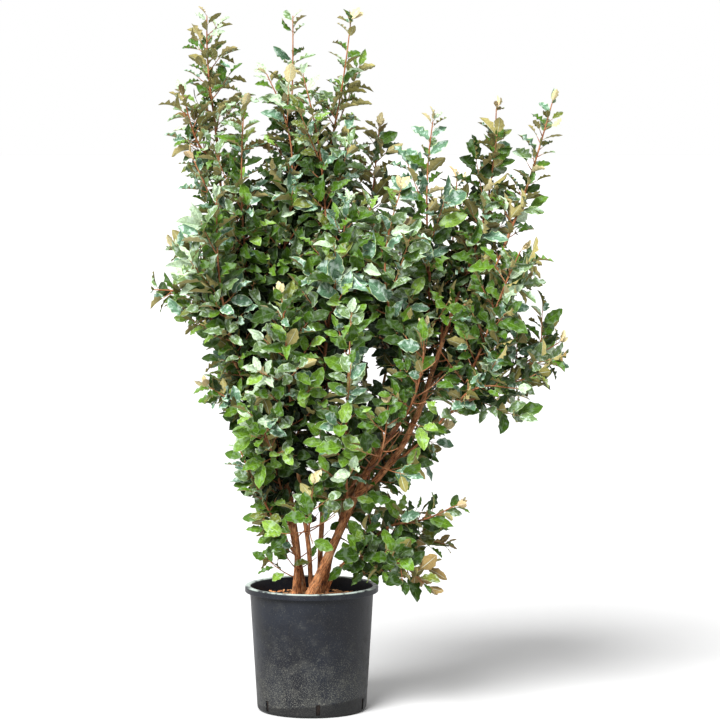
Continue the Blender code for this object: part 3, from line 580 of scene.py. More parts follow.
# chip(a, s) = (length·cos a·(1 + wobble), width·sin a·(1 + wobble), thickness·s), a slab with uneven edges
def chipMesh():
    chance = np.random.default_rng(soil["seed"])
    count, sides = soil["chips"], 8
    angle = np.arange(sides) * math.tau / sides
    cosine, sine = (np.sign(wave) * np.abs(wave) ** 0.6 for wave in (np.cos(angle), np.sin(angle)))
    wobble = 1 + soil["chipWobble"] * chance.standard_normal((count, 1, sides)).clip(-1.6, 1.6)
    inset, level = np.array([0.80, 1.0, 0.84])[None, :, None], np.array([-0.5, 0.0, 0.5])[None, :, None]
    length = chance.uniform(*soil["chipLength"], count)[:, None, None] / 2
    width = length * chance.uniform(*soil["chipWidth"], (count, 1, 1))
    thick = chance.uniform(*soil["chipThickness"], (count, 1, 1))
    x, y = length * cosine * wobble * inset, width * sine * wobble * inset
    z = thick * (level + 0.12 * np.sin(x * 260 + 1))
    shape = np.stack([x, y, z], axis=3).reshape(count, -1, 3)
    poles = np.zeros((count, 2, 3))
    poles[:, :, 2] = thick[:, 0] * [-0.5, 0.5]
    shape = np.concatenate([shape, poles], axis=1)
    # Each chip lies nearly flat, turned and tilted by chance, on the soil inside the ring
    turn = chance.uniform(0, math.tau, count)
    tilt = chance.uniform(-soil["chipTilt"], soil["chipTilt"], (2, count))
    flat = units(np.stack([np.cos(turn), np.sin(turn), tilt[0]], axis=1))
    up = units(np.stack([tilt[1], -tilt[0], np.ones(count)], axis=1))
    up = units(up - flat * (up * flat).sum(axis=1)[:, None])
    axes = np.stack([flat, np.cross(up, flat), up], axis=1)
    far = soil["ring"] * np.sqrt(chance.uniform(0.0, 1.0, count)) - 0.012
    bearing = chance.uniform(0, math.tau, count)
    spot = np.stack([far * np.sin(bearing), far * np.cos(bearing), np.zeros(count)], axis=1)
    spot[:, 2] = soilLevel(spot[:, 0], spot[:, 1]) + 0.0025 + chance.uniform(0, 0.004, count)
    gathered = Gathered()
    gathered.add(np.einsum("cvi,cij->cvj", shape, axes) + spot[:, None], *tubeFaces(3, sides))
    return gathered


def earthLook():
    look = Look("potting soil", soil["earth"], Roughness=0.95)
    spot = look.objectPlace()
    crumbs = look.cells(spot, 260.0)
    patches = look.noise(spot, 45.0, 5.0, 0.7)
    base = look.mix(look.ease(patches, 0.35, 0.65), soil["earthDark"], soil["earth"])
    base = look.mix(look.ease(crumbs, 0.0, 0.5) * 0.5, soil["earthDark"], base)
    return look.finish(base, 0.85 + patches * 0.15, look.bump(crumbs * 0.6 + patches, 0.8, 0.003))


def chipLook():
    look = Look("bark chips", soil["chip"], Roughness=0.8)
    spot = look.objectPlace()
    each = look.noise(spot, 38.0, 1.0)
    grain = look.noise(look.stretched(spot, (300.0, 90.0, 300.0)), 1.0, 4.0)
    base = look.mix(look.ease(each, 0.36, 0.64), soil["chip"], soil["chipPale"])
    base = look.mix(look.ease(grain, 0.45, 0.75) * 0.7, base, soil["earth"])
    return look.finish(base, 0.7 + grain * 0.25, look.bump(grain, 0.6, 0.0015))


place("soilFill", soilMesh().mesh("soilFill", ["turned"], earthLook()), ["soil"])
place("barkChips", chipMesh().mesh("barkChips", ["chip"], chipLook(), 50))
print("pot and soil are made")

# Stems and boughs

wood = dict(
    step=0.005, stemSides=22, boughSides=16, rootDepth=(0.012, 0.004),  # what stands in the soil
    flare=0.25, flareHeight=0.010,  # wider at a stem's foot
    collar=0.30, collarLength=0.012,  # and where a bough starts
    ridges=((2, 0.045), (3, 0.035), (5, 0.022), (7, 0.014)),  # waves round the limb, and their height
    knotEach=0.05, knotSize=(0.08, 0.22), knotLength=0.007, knotWidth=0.45,
    bark=(182, 122, 78), barkDark=(94, 58, 36), barkPale=(206, 160, 116), barkGrey=(152, 134, 112),
)


def planLimbs():
    limbs = {}
    for name, (foot, end, leave, arrive, wide) in stems.items():
        foot = (*foot, soilTop + plan["seatGap"])
        points = bentPath("stem_" + name, foot, end, leave, arrive, plan["limbStep"])
        limbs[name] = (points, np.array(wide) / 2)
    for name, (parent, share, end, leave, arrive, wide) in boughs.items():
        start, along = placeAlong(limbs[parent][0], share)
        points = bentPath("bough_" + name, start, end, leave or along, arrive, plan["limbStep"])
        limbs[name] = (points, np.array(wide) / 2)
    return limbs


def planShoots(limbs):
    shoots = {}
    for name, (limb, share, tip, leave, arrive, *_) in masses.items():
        start, along = placeAlong(limbs[limb][0], share)
        tip = np.array(tip) - unit(arrive) * plan["tipLeaf"]
        shoots[name] = bentPath("leaves_" + name, start, tip, leave or along, arrive, plan["shootStep"])
    return shoots


# radius(s, a) = taper·(1 + flare at the foot)·(1 + slow ridges round the limb + knots)
def limbRadii(name, lengths, path, wide, sides, isStem):
    chance = random.Random("bark " + name)
    taper = wide[0] + (wide[1] - wide[0]) * (lengths / lengths[-1])
    if isStem:
        height = np.clip(path[:, 2] - soilTop, 0, None)
        taper = taper * (1 + wood["flare"] * np.exp(-height / wood["flareHeight"]))
    else:
        taper = taper * (1 + wood["collar"] * np.exp(-lengths / wood["collarLength"]))
    angle = np.arange(sides) * math.tau / sides
    ridges = 0
    for waves, height in wood["ridges"]:
        start, twist, slow = chance.uniform(0, 6.3), chance.uniform(-9, 9), chance.uniform(15, 45)
        wander = start + twist * lengths + 0.8 * np.sin(slow * lengths + start)
        ridges = ridges + height * np.sin(waves * angle + wander[:, None])
    for _ in range(int(lengths[-1] / wood["knotEach"])):
        middle, side = chance.uniform(0, lengths[-1]), chance.uniform(0, math.tau)
        size = chance.uniform(*wood["knotSize"])
        along = np.exp(-(((lengths - middle) / wood["knotLength"]) ** 2))[:, None]
        ridges = ridges + size * along * np.exp(-((np.sin((angle - side) / 2) / wood["knotWidth"]) ** 2))
    return taper[:, None] * (1 + ridges)


def woodMesh(limbs, names, sides, isStem):
    gathered = Gathered()
    for name in names:
        points, wide = limbs[name]
        path = smoothPath(points, wood["step"])
        if isStem:
            down = (path[0] - path[1]) / wood["step"]
            path = np.concatenate([path[0] + down * np.linspace(*wood["rootDepth"], 3)[:, None], path])
        radii = limbRadii(name, pathLengths(path), path, wide, sides, isStem)
        gathered.addTube(path, radii, sides)
    return gathered


def barkLook():
    look = Look("bark", wood["bark"], Roughness=0.8, Specular_IOR_Level=0.2)
    grain = look.mapPlace("grain")
    spot = look.objectPlace()
    cracks = look.noise(look.stretched(grain, (420.0, 60.0, 1.0)), 1.0, 5.0, 0.6)
    fine = look.noise(look.stretched(grain, (1500.0, 260.0, 1.0)), 1.0, 3.0)
    patches = look.noise(spot, 28.0, 4.0, 0.6)
    lichen = look.noise(spot, 60.0, 3.0, 0.6)
    base = look.mix(look.ease(cracks, 0.40, 0.62), wood["barkDark"], wood["bark"])
    base = look.mix(look.ease(patches, 0.45, 0.70) * 0.55, base, wood["barkPale"])
    base = look.mix(look.ease(lichen, 0.58, 0.72) * 0.5, base, wood["barkGrey"])
    base = look.mix(look.ease(fine, 0.45, 0.75) * 0.3, base, wood["barkDark"])
    return look.finish(base, 0.7 + cracks * 0.25, look.bump(cracks + fine * 0.35, 0.7, 0.0016))


limbs = planLimbs()
bark = barkLook()
for pieceName, nodeStart, table, sides in (("stemWood", "stem_", stems, wood["stemSides"]),
                                           ("boughWood", "bough_", boughs, wood["boughSides"])):
    mesh = woodMesh(limbs, table, sides, table is stems).mesh(pieceName, ["grain"], bark)
    place(pieceName, mesh, [nodeStart + name for name in table])
print("stems and boughs are made")

# Shoots, twigs and leaves

growth = dict(
    tipShoot=0.082,  # by which a real shoot is longer than the frame's, as its last leaf is small
    limbStep=0.008, shootStep=0.006,  # how finely limbs and shoots are followed
    site=0.0092, twigSite=0.0088, turn=math.radians(137.5),  # from one leaf to the next
    shootRadius=(0.0040, 0.0015), shootSides=7, twigRadius=(0.0018, 0.0009), twigSides=5, twigRings=6,
    stalkRadius=0.0008, stalkSides=3, petiole=0.007,
    leafyTop=(0.05, 0.24), longShoot=0.46,  # length near a tip without twigs, on a short and a long shoot
    topSkip=0.28, bareShare=0.5,  # share of leaves left out near a tip, and of the frame's bare length
    twigLength=(0.6, 1.12), twigLift=(0.05, 0.35),
    sideShoots=(0.30, 0.62), nextSide=0.2, sideLength=(0.10, 0.17),  # where a long shoot forks, and how far
    innerFrom=0.80, innerSite=0.028, innerTwig=(0.04, 0.12),  # leafy twigs on the limbs inside the crown
    leafLength=(0.042, 0.066), longer=0.20, longestAt=1.15, longOver=0.25, tipLeaves=(0.022, 0.040),
    closest=0.0108, limbRoom=0.005, rimRoom=0.006, potRoom=0.008, sideRoom=0.004, topRoom=0.002,  # kept clear
    most=12000,  # leaves that there is room for in the lists
    bareFront=0.92, sightWidth=0.030,  # share of the leaves left out in front of the thick stems, how wide
    sameTone=0.55, youngTips=0.55, toneFrom=0.45, toneOver=1.2,  # heights that the tones' shares belong to
    # how deep the leaves lie in the crown, and the shares of the deepest leaves painted in the shade tone and
    # in either dark tone as shade
    depthSides=6, depthWidth=0.055, depthFrom=0.02, shadeShare=0.23, paintedShadeShare=0.39,
)
bareLimbs = {  # how much of each limb shows to the front
    "right": 1.0, "right_outer": 0.85, "centre": 0.35, "left": 0.3, "centre_right": 0.3, "left_inner": 0.3,
}
innerFrom = {  # heights from which a limb has them, where they aren't the rest's
    "low_right": 0.365, "left": 0.36, "left_inner": 0.46, "back_right": 0.60,
}
lowTwigs = (  # stem, share of its length, direction, length
    ("left", 0.09, (-0.9, -0.2, 0.35), 0.08),
    ("left", 0.13, (-0.5, -0.7, 0.5), 0.05),
    ("left_inner", 0.16, (-0.9, -0.2, 0.5), 0.07),
    ("right", 0.12, (0.4, -0.8, 0.7), 0.05),
    ("centre", 0.2, (0.1, -0.9, 0.6), 0.05),
)
largeLeaves = {"low_right": 1.1, "low_right_hanging": 1.15, "low_right_middle": 1.05}  # against the rest
fullness = {  # length of a shoot's twigs, against the rest
    "far_left_shoot": 0.5, "left_leader": 0.8, "left_shoulder": 0.8, "left_low": 0.7, "left_bottom": 0.6,
    "far_right_shoot": 0.45, "right_centre_shoot": 0.7, "right_low_side": 0.4, "upper_left": 0.85,
    "back_far_right": 0.8, "far_right_side": 1.4, "front_low": 1.3, "low_right": 0.42,
    "low_right_hanging": 0.85, "right_front_low": 1.25, "front_shoot": 1.15, "back_low_right": 1.4,
    "back_right": 1.2,
}

# Tones of the leaves: upper side, under side, shares at the foot and at the top of the crown, how strongly
# the silver scales, the pale margin and the painted sheen show
tones = {
    # shade is a tone of painted shade only; deep is also dealt by chance, and is painted as shade on leaves a
    # little less deep in the crown
    "shade": ((20, 38, 7), (60, 60, 26), 0.0, 0.0, 0.2),
    "deep": ((36, 60, 3), (118, 114, 62), 0.22, 0.10, 0.25),
    "middle": ((58, 90, 7), (144, 136, 84), 0.30, 0.14, 0.4),
    "fresh": ((80, 114, 22), (154, 146, 92), 0.24, 0.08, 0.4),
    "bright": ((110, 142, 48), (158, 152, 98), 0.08, 0.02, 0.8),
    "grey": ((88, 112, 64), (150, 142, 92), 0.08, 0.26, 1.5),
    "blue": ((80, 114, 86), (154, 144, 96), 0.06, 0.26, 1.8),
    "dusty": ((154, 174, 142), (194, 182, 138), 0.0, 0.10, 1.0),
    "olive": ((90, 100, 32), (134, 114, 72), 0.02, 0.05, 0.7),
    "young": ((196, 182, 136), (208, 182, 140), 0.0, 0.0, 0.5),
}
leafShape = dict(
    stations=(0.0, 0.07, 0.18, 0.32, 0.46, 0.60, 0.74, 0.88, 1.0), columns=5, thickness=0.010,
    flat=dict(halfWidth=(0.26, 0.33), arch=(0.05, 0.30), fold=(0.08, 0.32), wave=(0.035, 0.075)),
    curled=dict(halfWidth=(0.19, 0.25), arch=(0.10, 0.50), fold=(0.25, 0.80), wave=(0.06, 0.12)),
    leastWidth=0.012, bend=0.08, twist=0.7, waves=3.4, scallop=0.10, curledFrom=(0.70, 1.25), seed=5,
    sheet=(4, 3), mapMiddle=0.25, mapWide=0.23, mapLong=(0.02, 0.96), sharpAngle=75,
    # silverAndSheen is the colour of the real silver scales and of the painted sheen; edge is the pale margin
    gloss=0.10, silverAndSheen=(200, 216, 208), edge=(178, 194, 140), scale=(166, 140, 92),
)
leafCount = leafShape["sheet"][0] * leafShape["sheet"][1]
leafPose = dict(
    tries=5, spread=0.18, wider=0.14,  # how far a leaf strays from its place's side, and by each new try
    lift=0.10, lessDroop=0.45,
    heart=(0.05, 0.12), flatter=0.7,  # the line that leaves turn their faces away from, and less so sideways
    showFrom=1.50, showOver=0.40, show=(0.4, 1.2),  # lower leaves turn their faces outward more
    tip=(0.2, 0.6), outward=(0.0, 0.5), up=(0.3, 0.8), stray=0.4,
    outFrom=0.2, outTo=0.35, outShare=(0.1, 0.8),
    hangingFrom=(0.24, 0.47), hangingShare=0.75,  # the clump low on the right shows its under sides
    underBelow=0.98, underEach=6, under=0.5,  # and so does each sixth leaf below this height
)


# twig(t) = start + run·t + rise·t^2
def twigPoint(start, run, rise, t):
    return start + run * t + rise * t * t


class Foliage:
    # Every twig, stalk and leaf of the crown, as growing lists of their places
    def __init__(self, limbs):
        self.twigs, self.stalks, self.leaves = [], [], []
        self.middles = np.zeros((growth["most"], 3))
        paths = {name: smoothPath(points, growth["limbStep"]) for name, (points, _) in limbs.items()}
        radii = [np.linspace(*limbs[name][1], len(path)) for name, path in paths.items()]
        self.limbSpots, self.limbRadii = np.concatenate(list(paths.values())), np.concatenate(radii)
        bare = [paths[name][: int(len(paths[name]) * share)] for name, share in bareLimbs.items()]
        self.sight = np.concatenate(bare)
        self.seenSight = self.seen(self.sight)

    # Where points appear from the front, in metres across and up at y = 0
    def seen(self, points):
        ray = points - np.array(eye)
        return ray[..., [0, 2]] * (-eye[1] / ray[..., 1:2])

    # Whether a leaf would hang in front of a thick stem, which is bare to the front
    def hides(self, middle, chance):
        away = np.linalg.norm(self.seenSight - self.seen(middle), axis=1)
        near = (away < growth["sightWidth"]) & (self.sight[:, 1] > middle[1])
        return near.any() and chance.random() < growth["bareFront"]

    # Whether a leaf keeps clear of the pot, the box, the limbs and the other leaves
    def fits(self, middle, tip):
        for spot in (middle, tip):
            overPot = np.hypot(*spot[:2]) < pot["rimRadius"] + growth["rimRoom"]
            if overPot and spot[2] < pot["height"] + growth["potRoom"]:
                return False
            if (spot < boxLow + growth["sideRoom"]).any() or (spot > boxHigh - growth["topRoom"]).any():
                return False
        away = np.linalg.norm(self.limbSpots - middle, axis=1) - self.limbRadii
        if away.min() < growth["limbRoom"]:
            return False
        placed = self.middles[: len(self.leaves)]
        return not len(placed) or np.linalg.norm(placed - middle, axis=1).min() > growth["closest"]

    # The side a leaf faces: toward its twig's tip, up and outward, with its upper or its under side shown
    def facing(self, root, along, towardTip, isHanging, chance):
        pose = leafPose
        heart = pose["heart"]
        outward = np.array([(root[0] - heart[0]) * pose["flatter"], root[1] - heart[1], 0.0])
        outward = outward / max(0.05, np.linalg.norm(outward))
        showing = min(1.0, max(0.0, (pose["showFrom"] - root[2]) / pose["showOver"]))
        light = outward * (chance.uniform(*pose["outward"]) + showing * chance.uniform(*pose["show"]))
        facing = unit(towardTip) * chance.uniform(*pose["tip"]) + light + [0, 0, chance.uniform(*pose["up"])]
        facing = facing + [chance.uniform(-pose["stray"], pose["stray"]) for _ in range(3)]
        facing = facing - along * facing.dot(along)
        out = outward - along * outward.dot(along)
        low, more = pose["outShare"]
        isTurned = isHanging and chance.random() < pose["hangingShare"]
        if isTurned or (root[2] < pose["underBelow"] and len(self.leaves) % pose["underEach"] == 0):
            facing = facing - out * (facing.dot(out) + pose["under"])
        elif facing.dot(out) < pose["outFrom"] and chance.random() < low + more * showing:
            facing = facing + out * ((pose["outTo"] - facing.dot(out)) / max(0.15, out.dot(out)))
        return unit(facing), isTurned

    # A leaf on its stalk, or none where it fits at no try
    def leaf(self, root, direction, towardTip, length, chance, tone):
        right, below = leafPose["hangingFrom"]
        isHanging = root[0] > right and root[2] < below
        for attempt in range(leafPose["tries"]):
            spread = leafPose["spread"] + leafPose["wider"] * attempt
            along = unit(direction) + [chance.uniform(-spread, spread) for _ in range(3)]
            along = unit(along + [0, 0, leafPose["lessDroop"] * max(0.0, -along[2]) + leafPose["lift"]])
            base = root + along * growth["petiole"]
            middle, tip = base + along * length * 0.5, base + along * length
            if not self.fits(middle, tip):
                continue
            if self.hides(middle, chance):
                return
            facing, isTurned = self.facing(root, along, towardTip, isHanging, chance)
            low, high = leafShape["curledFrom"]
            isCurled = chance.random() < min(0.9, max(0.05, (root[2] - low) / (high - low)))
            form = chance.randrange(leafCount // 2) + leafCount // 2 * isCurled
            self.middles[len(self.leaves)] = middle
            self.leaves.append((base, along, facing, length, "olive" if isTurned else tone, form))
            self.stalks.append((root, base + along * 0.001))
            return


# Leaves are longest half way up the crown
def leafLength(height, chance):
    most = 1 + growth["longer"] * math.exp(-(((height - growth["longestAt"]) / growth["longOver"]) ** 2))
    return chance.uniform(*growth["leafLength"]) * most


# A tone by chance, in shares that change evenly from the foot to the top of the crown
def chooseTone(height, chance):
    share = min(1.0, max(0.0, (height - growth["toneFrom"]) / growth["toneOver"]))
    weights = [low + (high - low) * share for _, _, low, high, _ in tones.values()]
    return chance.choices(list(tones), weights)[0]


# A twig with a leaf at its tip and others down its length, each a golden turn further round
def growTwig(start, direction, towardTip, length, foliage, chance, tone, larger=1.0):
    run, rise = direction * length, np.array([0, 0, chance.uniform(*growth["twigLift"]) * length])
    foliage.twigs.append((start, run, rise))
    size = leafLength(start[2], chance) * larger
    foliage.leaf(twigPoint(start, run, rise, 1.0), direction, towardTip, size * 0.8, chance, tone)
    turn = chance.uniform(0, math.tau)
    for index in range(int((length - 0.012) / growth["twigSite"])):
        spot = twigPoint(start, run, rise, 1 - (index + 0.6) * growth["twigSite"] / length)
        turn += growth["turn"]
        aside = sideOf(direction, turn) + direction * 0.7
        leafTone = tone if chance.random() < growth["sameTone"] else chooseTone(spot[2], chance)
        foliage.leaf(spot, aside, direction, size * chance.uniform(0.7, 1.1), chance, leafTone)


# A shoot from its tip down: small leaves at the tip, then leaves and leafy twigs by turns, and two forks
def growShoot(name, points, foliage, shoots):
    *_, arrive, reach, bare = masses[name]
    chance = random.Random("twigs " + name)
    points = np.concatenate([points, points[-1:] + unit(arrive) * growth["tipShoot"]])
    path = smoothPath(points, growth["shootStep"])
    lengths, along = pathLengths(path), tangents(path)
    total = lengths[-1]
    isLong = total > growth["longShoot"]
    leafyTop = growth["leafyTop"][int(isLong)]
    shoots.addTube(path, np.interp(lengths, [0, total], growth["shootRadius"]), growth["shootSides"])
    tipTone = "young" if chance.random() < growth["youngTips"] else "dusty"
    for _ in range(3):
        lean = np.array([chance.uniform(-0.5, 0.5) for _ in range(3)])
        length = chance.uniform(*growth["tipLeaves"])
        foliage.leaf(path[-1], along[-1] + lean, along[-1], length, chance, tipTone)
    turn = chance.uniform(0, math.tau)
    forks = [chance.uniform(*growth["sideShoots"])] if isLong else []
    forks = forks + [fork + growth["nextSide"] for fork in forks]
    full, large = fullness.get(name, 1.0), largeLeaves.get(name, 1.0)
    for index in range(int((total - bare * growth["bareShare"]) / growth["site"])):
        away = (index + 0.7) * growth["site"]
        spot, here = spotAt(total - away, lengths, path, along)
        turn += growth["turn"]
        side = sideOf(here, turn)
        grown = 1 - math.exp(-(away + 0.012) / 0.05)  # from 0 at the very tip to 1 well below it
        tone = chooseTone(spot[2], chance)
        length = leafLength(spot[2], chance) * (0.45 + 0.55 * grown) * large
        twigLength = full * reach * min(1.0, 0.45 + 2.0 * (away - leafyTop))
        twigLength *= chance.uniform(*growth["twigLength"])
        if forks and total - away < forks[-1] * total:
            forks.pop()
            sideLength = min(full * chance.uniform(*growth["sideLength"]), 0.6 * away)
            growTwig(spot, unit(side * 0.55 + here), here, sideLength, foliage, chance, tone, large)
        elif index % 2 and away > leafyTop:
            growTwig(spot, unit(side + here * 0.65), here, twigLength, foliage, chance, tone, large)
        elif away > leafyTop or chance.random() > growth["topSkip"]:
            foliage.leaf(spot, side + here * (1.2 - 0.65 * grown), here, length, chance, tone)


# Short leafy twigs all round the limbs, where they run inside the crown
def growInner(name, path, foliage):
    chance = random.Random("inner " + name)
    lengths, along = pathLengths(path), tangents(path)
    turn = chance.uniform(0, math.tau)
    for away in np.arange(0.02, lengths[-1] - 0.02, growth["innerSite"]):
        spot, here = spotAt(away, lengths, path, along)
        turn += growth["turn"]
        if spot[2] < innerFrom.get(name, growth["innerFrom"]):
            continue
        tone = chooseTone(spot[2], chance)
        direction = unit(sideOf(here, turn) + here * 0.5)
        growTwig(spot, direction, here, chance.uniform(*growth["innerTwig"]), foliage, chance, tone)


# leaf(u, v) = (width(u)·v + bend·u^2, u, fold·|v| - arch·u^2 + wave), with width = sin(pi·u^0.92)^0.66,
# the first half of the shapes flat and the others curled
def leafPoints():
    chance = random.Random(leafShape["seed"])
    u = np.array(leafShape["stations"])[:, None]
    v = np.linspace(-1, 1, leafShape["columns"])[None, :]
    shapes = []
    for index in range(leafCount):
        form = leafShape["flat" if index < leafCount // 2 else "curled"]
        half, arch, fold, wave = (chance.uniform(*form[key]) for key in ("halfWidth", "arch", "fold", "wave"))
        width = (half * np.sin(math.pi * u**0.92).clip(0, 1) ** 0.66).clip(leafShape["leastWidth"], 1)
        start = chance.uniform(0, math.tau)
        bend, twist = (chance.uniform(-leafShape[key], leafShape[key]) for key in ("bend", "twist"))
        turn = math.tau * leafShape["waves"] * u + start + 1.3 * np.sign(v)
        ripple = wave * np.abs(v) ** 1.6 * np.sin(turn) * np.sin(math.pi * u) ** 0.5
        x = width * v * (1 + leafShape["scallop"] * np.sin(turn + 0.9) * np.sin(math.pi * u))
        z = fold * np.abs(v) * width + ripple
        roll = twist * u
        x, z = x * np.cos(roll) - z * np.sin(roll), x * np.sin(roll) + z * np.cos(roll)
        shapes.append(np.stack([x + bend * u**2, u + 0 * v, z - arch * (u - 0.1) ** 2], axis=2))
    return np.array(shapes)


# One closed leaf: the upper grid, the inner points of the under grid, and the faces of both
def leafFaces():
    rows, columns = len(leafShape["stations"]), leafShape["columns"]
    upper = np.arange(rows * columns).reshape(rows, columns)
    under = upper.copy()
    under[1:-1, 1:-1] = rows * columns + np.arange((rows - 2) * (columns - 2)).reshape(rows - 2, columns - 2)
    u = np.array(leafShape["stations"])[:, None] + np.zeros(columns)
    v = np.linspace(-1, 1, columns)[None, :] + np.zeros((rows, 1))
    start, long = leafShape["mapLong"]
    near, far = slice(None, -1), slice(1, None)
    corners = [(near, near), (near, far), (far, far), (far, near)]
    faces, places = [], []
    for grid, centre in ((upper, leafShape["mapMiddle"]), (under, leafShape["mapMiddle"] + 0.5)):
        spot = np.stack([centre + leafShape["mapWide"] * v, start + long * u], axis=2)
        faces.append(np.stack([grid[corner] for corner in corners], axis=2).reshape(-1, 4))
        places.append(np.stack([spot[corner] for corner in corners], axis=2).reshape(-1, 4, 2))
        corners = corners[2::-1] + corners[3:]  # the under side goes the other way round, folded alike
    return np.concatenate(faces), np.concatenate(places)


# How deep each leaf is in the crown: leaves in the way to the outside, on the side where they are fewest
def crownDepth(middles):
    depth = np.full(len(middles), np.inf)
    for turn in np.arange(growth["depthSides"]) * math.tau / growth["depthSides"]:
        toward = unit([math.cos(turn), math.sin(turn), 0.25])
        for first in range(0, len(middles), 400):
            block = slice(first, first + 400)
            between = middles[None] - middles[block, None]
            ahead = between @ toward
            aside = (between**2).sum(axis=2) - ahead**2
            cover = (ahead > growth["depthFrom"]) & (aside < growth["depthWidth"] ** 2)
            depth[block] = np.minimum(depth[block], cover.sum(axis=1))
    return depth


# Painted shade: the deepest leaves get the dark shade tone, and those a little less deep get the deep tone
def paintInnerShade(leaves):
    depth = crownDepth(np.array([base + along * length / 2 for base, along, _, length, _, _ in leaves]))
    share = np.argsort(np.argsort(depth)) / len(leaves)
    for index in np.flatnonzero(share > 1 - growth["paintedShadeShare"]):
        tone = "shade" if share[index] > 1 - growth["shadeShare"] else "deep"
        leaves[index] = (*leaves[index][:4], tone, leaves[index][5])


# One piece for each tone, with copies of the leaf shapes turned and sized to their places
def leafPieces(leaves):
    shapes = leafPoints()
    under = shapes[:, 1:-1, 1:-1] - [0, 0, leafShape["thickness"]]
    shapes = np.concatenate([shapes.reshape(leafCount, -1, 3), under.reshape(leafCount, -1, 3)], axis=1)
    faces, places = leafFaces()
    across = leafShape["sheet"][0]
    for tone in tones:
        chosen = [leaf for leaf in leaves if leaf[4] == tone]
        base, along, facing, length, form = (np.array([leaf[k] for leaf in chosen]) for k in (0, 1, 2, 3, 5))
        spots = places + np.stack([form % across, form // across], axis=1)[:, None, None]
        frames = np.stack([np.cross(along, facing), along, facing], axis=1)
        copies = np.einsum("cvi,cij->cvj", shapes[form] * length[:, None, None], frames) + base[:, None]
        gathered = Gathered()
        gathered.add(copies, (faces, spots / leafShape["sheet"]))
        pieceName = "leaves_" + tone
        mesh = gathered.mesh(pieceName, ["blade", "OFBake"], leafLook(tone), leafShape["sharpAngle"])
        place(pieceName, mesh)


def leafLook(tone):
    upper, under = (linear(colour) for colour in tones[tone][:2])
    silveryAndSheen = tones[tone][4]
    look = Look("leaf, " + tone, tones[tone][0], Roughness=0.4, Specular_IOR_Level=leafShape["gloss"])
    spot = look.stretched(look.mapPlace("blade"), (*leafShape["sheet"], 1.0))
    parts = look.parted(spot)
    x, y = (parts.part(axis).fraction() for axis in "XY")
    isUnder = x > 0.5
    side = abs((x - leafShape["mapMiddle"] - 0.5 * isUnder) / leafShape["mapWide"])
    midrib = 1 - look.ease(side + y * 0.03, 0.035, 0.085)
    # Side veins leave the midrib at a slant: stripes of y·8 - side·2
    stripe = abs((y * 8 - side * 2).fraction() - 0.5)
    veins = 1 - look.ease(stripe, 0.03, 0.14)
    mottle = look.noise(spot, 9.0, 4.0, 0.6)
    # Painted sheen: pale patches that stand in for the sky's reflection on the glossy upper side, mixed
    # toward the silver colour
    sheen = look.ease(look.noise(spot, 3.6, 2.0, 0.55) + side * 0.06 + stripe * 0.10, 0.54, 0.66)
    scales = look.noise(spot, 110.0, 2.0, 0.6)
    specks = look.ease(scales, 0.58, 0.68)
    paler = (*[min(1.0, c * 1.7 + 0.04) for c in upper[:3]], 1.0)
    darker, underDarker = (*[c * 0.60 for c in upper[:3]], 1.0), (*[c * 0.72 for c in under[:3]], 1.0)
    green = look.mix(look.ease(mottle, 0.36, 0.64), darker, upper)
    green = look.mix(sheen * (0.26 * silveryAndSheen), green, leafShape["silverAndSheen"])
    green = look.mix(veins * 0.22, green, paler)
    green = look.mix(midrib * 0.60, green, paler)
    # The pale margin is partly the leaf's own pale edge and partly a painted highlight where the wavy edge
    # catches the light
    margin = look.ease(side, 0.86, 0.99) * look.ease(mottle, 0.3, 0.7)
    green = look.mix(margin * (0.8 * silveryAndSheen), green, leafShape["edge"])
    green = look.mix(specks * (0.14 * silveryAndSheen), green, leafShape["silverAndSheen"])
    khaki = look.mix(look.ease(mottle, 0.35, 0.65), underDarker, under)
    khaki = look.mix(specks * 0.5, khaki, leafShape["scale"])
    khaki = look.mix(midrib * 0.45, khaki, leafShape["silverAndSheen"])
    base = look.mix(isUnder, green, khaki)
    roughness = 0.32 + scales * 0.20 + isUnder * 0.22
    height = midrib * (isUnder * 2 - 1) + veins * 0.4 + mottle * 1.4 + scales * 0.2
    return look.finish(base, roughness, look.bump(height, 0.45, 0.0014))


twigColours = dict(shoot=(122, 72, 42), pale=(158, 118, 84), stalk=(138, 122, 78))


def twigLook(name, colour, paler):
    look = Look(name, colour, Roughness=0.6, Specular_IOR_Level=0.2)
    spot = look.objectPlace()
    patches = look.noise(spot, 55.0, 3.0, 0.6)
    scales = look.noise(spot, 900.0, 2.0)
    base = look.mix(look.ease(patches, 0.40, 0.66) * 0.6, colour, paler)
    base = look.mix(look.ease(scales, 0.56, 0.70) * 0.4, base, paler)
    return look.finish(base, 0.5 + scales * 0.25, look.bump(scales, 0.3, 0.0006))


def twigMesh(twigs):
    start, run, rise = (np.array([twig[k] for twig in twigs])[:, None] for k in range(3))
    t = np.linspace(0, 1, growth["twigRings"])
    radii = np.interp(t, [0, 1], growth["twigRadius"]) + np.zeros((len(twigs), 1))
    return manyTubes(twigPoint(start, run, rise, t[None, :, None]), radii, growth["twigSides"])


def stalkMesh(stalks):
    path = np.array(stalks)
    return manyTubes(path, np.full(path.shape[:2], growth["stalkRadius"]), growth["stalkSides"])


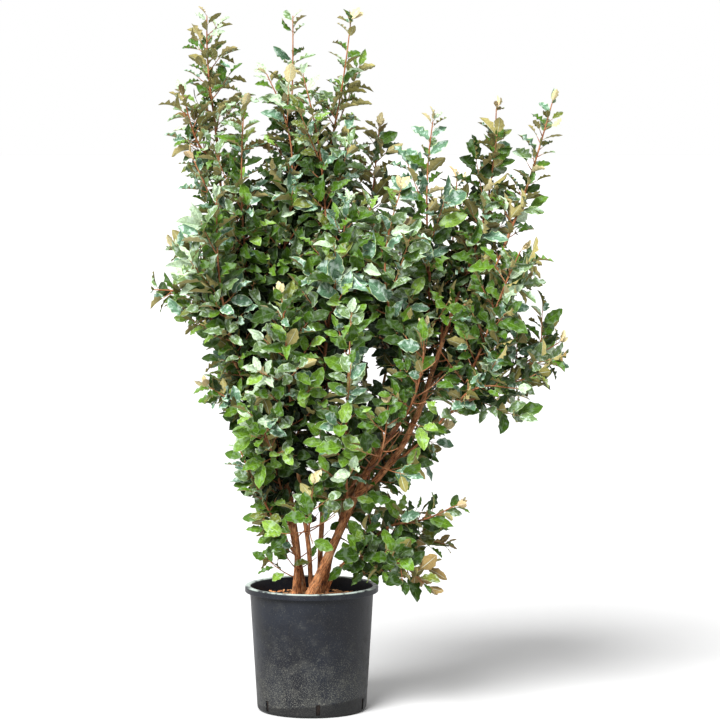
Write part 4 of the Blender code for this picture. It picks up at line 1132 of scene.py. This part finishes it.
foliage = Foliage(limbs)
shootTubes = Gathered()
for name, points in planShoots(limbs).items():
    growShoot(name, points, foliage, shootTubes)
for name, (points, _) in limbs.items():
    growInner(name, smoothPath(points, growth["limbStep"]), foliage)
for index, (name, share, direction, length) in enumerate(lowTwigs):
    chance = random.Random("low %i" % index)
    start, run = placeAlong(limbs[name][0], share)
    growTwig(start, unit(direction), run, length, foliage, chance, chooseTone(start[2], chance))
shootLook = twigLook("young bark", twigColours["shoot"], twigColours["pale"])
stalkLook = twigLook("leaf stalks", twigColours["stalk"], twigColours["pale"])
massNodes = ["leaves_" + name for name in masses]
place("shoots", shootTubes.mesh("shoots", ["grain"], shootLook), massNodes)
place("twigs", twigMesh(foliage.twigs).mesh("twigs", ["grain"], shootLook))
place("stalks", stalkMesh(foliage.stalks).mesh("stalks", ["grain"], stalkLook))
paintInnerShade(foliage.leaves)
leafPieces(foliage.leaves)
print(len(foliage.leaves), "leaves and", len(foliage.twigs), "twigs are made")

# Studio

studio = dict(
    floor=(174, 174, 174), floorReach=400.0, sky=(255, 255, 255), skyStrength=1.0,
    sunTurn=(48.0, 0.0, -28.0), sunAngle=32.0, sunPower=8.8, tilt=4.24, lens=144.15, farthest=1000.0,
)


# A wide soft source high on the left, as far away as the sky
def softSun():
    light = bpy.data.lights.new("key", "SUN")
    light.angle, light.energy = math.radians(studio["sunAngle"]), studio["sunPower"]
    lamp = bpy.data.objects.new("key", light)
    lamp.rotation_euler = [math.radians(turn) for turn in studio["sunTurn"]]
    bpy.context.scene.collection.objects.link(lamp)


def floorPiece():
    mesh = bpy.data.meshes.new("floor")
    far = studio["floorReach"]
    mesh.from_pydata([(-far, -far, 0), (far, -far, 0), (far, far, 0), (-far, far, 0)], [], [(0, 1, 2, 3)])
    mesh.materials.append(Look("pale floor", studio["floor"], Roughness=0.9).material)
    floor = bpy.data.objects.new("floor", mesh)
    bpy.context.scene.collection.objects.link(floor)
    return floor


def photoCamera():
    lens = bpy.data.cameras.new("photoView")
    lens.lens, lens.sensor_width, lens.clip_end = studio["lens"], 36.0, studio["farthest"]
    camera = bpy.data.objects.new("photoView", lens)
    camera.location = eye
    camera.rotation_euler = (math.radians(90 - studio["tilt"]), 0, 0)
    bpy.context.scene.collection.objects.link(camera)
    return camera


floorPiece()
softSun()
world = bpy.data.worlds.new("studio")
world.use_nodes = True
background = world.node_tree.nodes["Background"].inputs
background["Color"].default_value = linear(studio["sky"])
background["Strength"].default_value = studio["skyStrength"]
bpy.context.scene.world = world
bpy.context.scene.view_settings.view_transform = "Standard"
bpy.context.scene.camera = photoCamera()
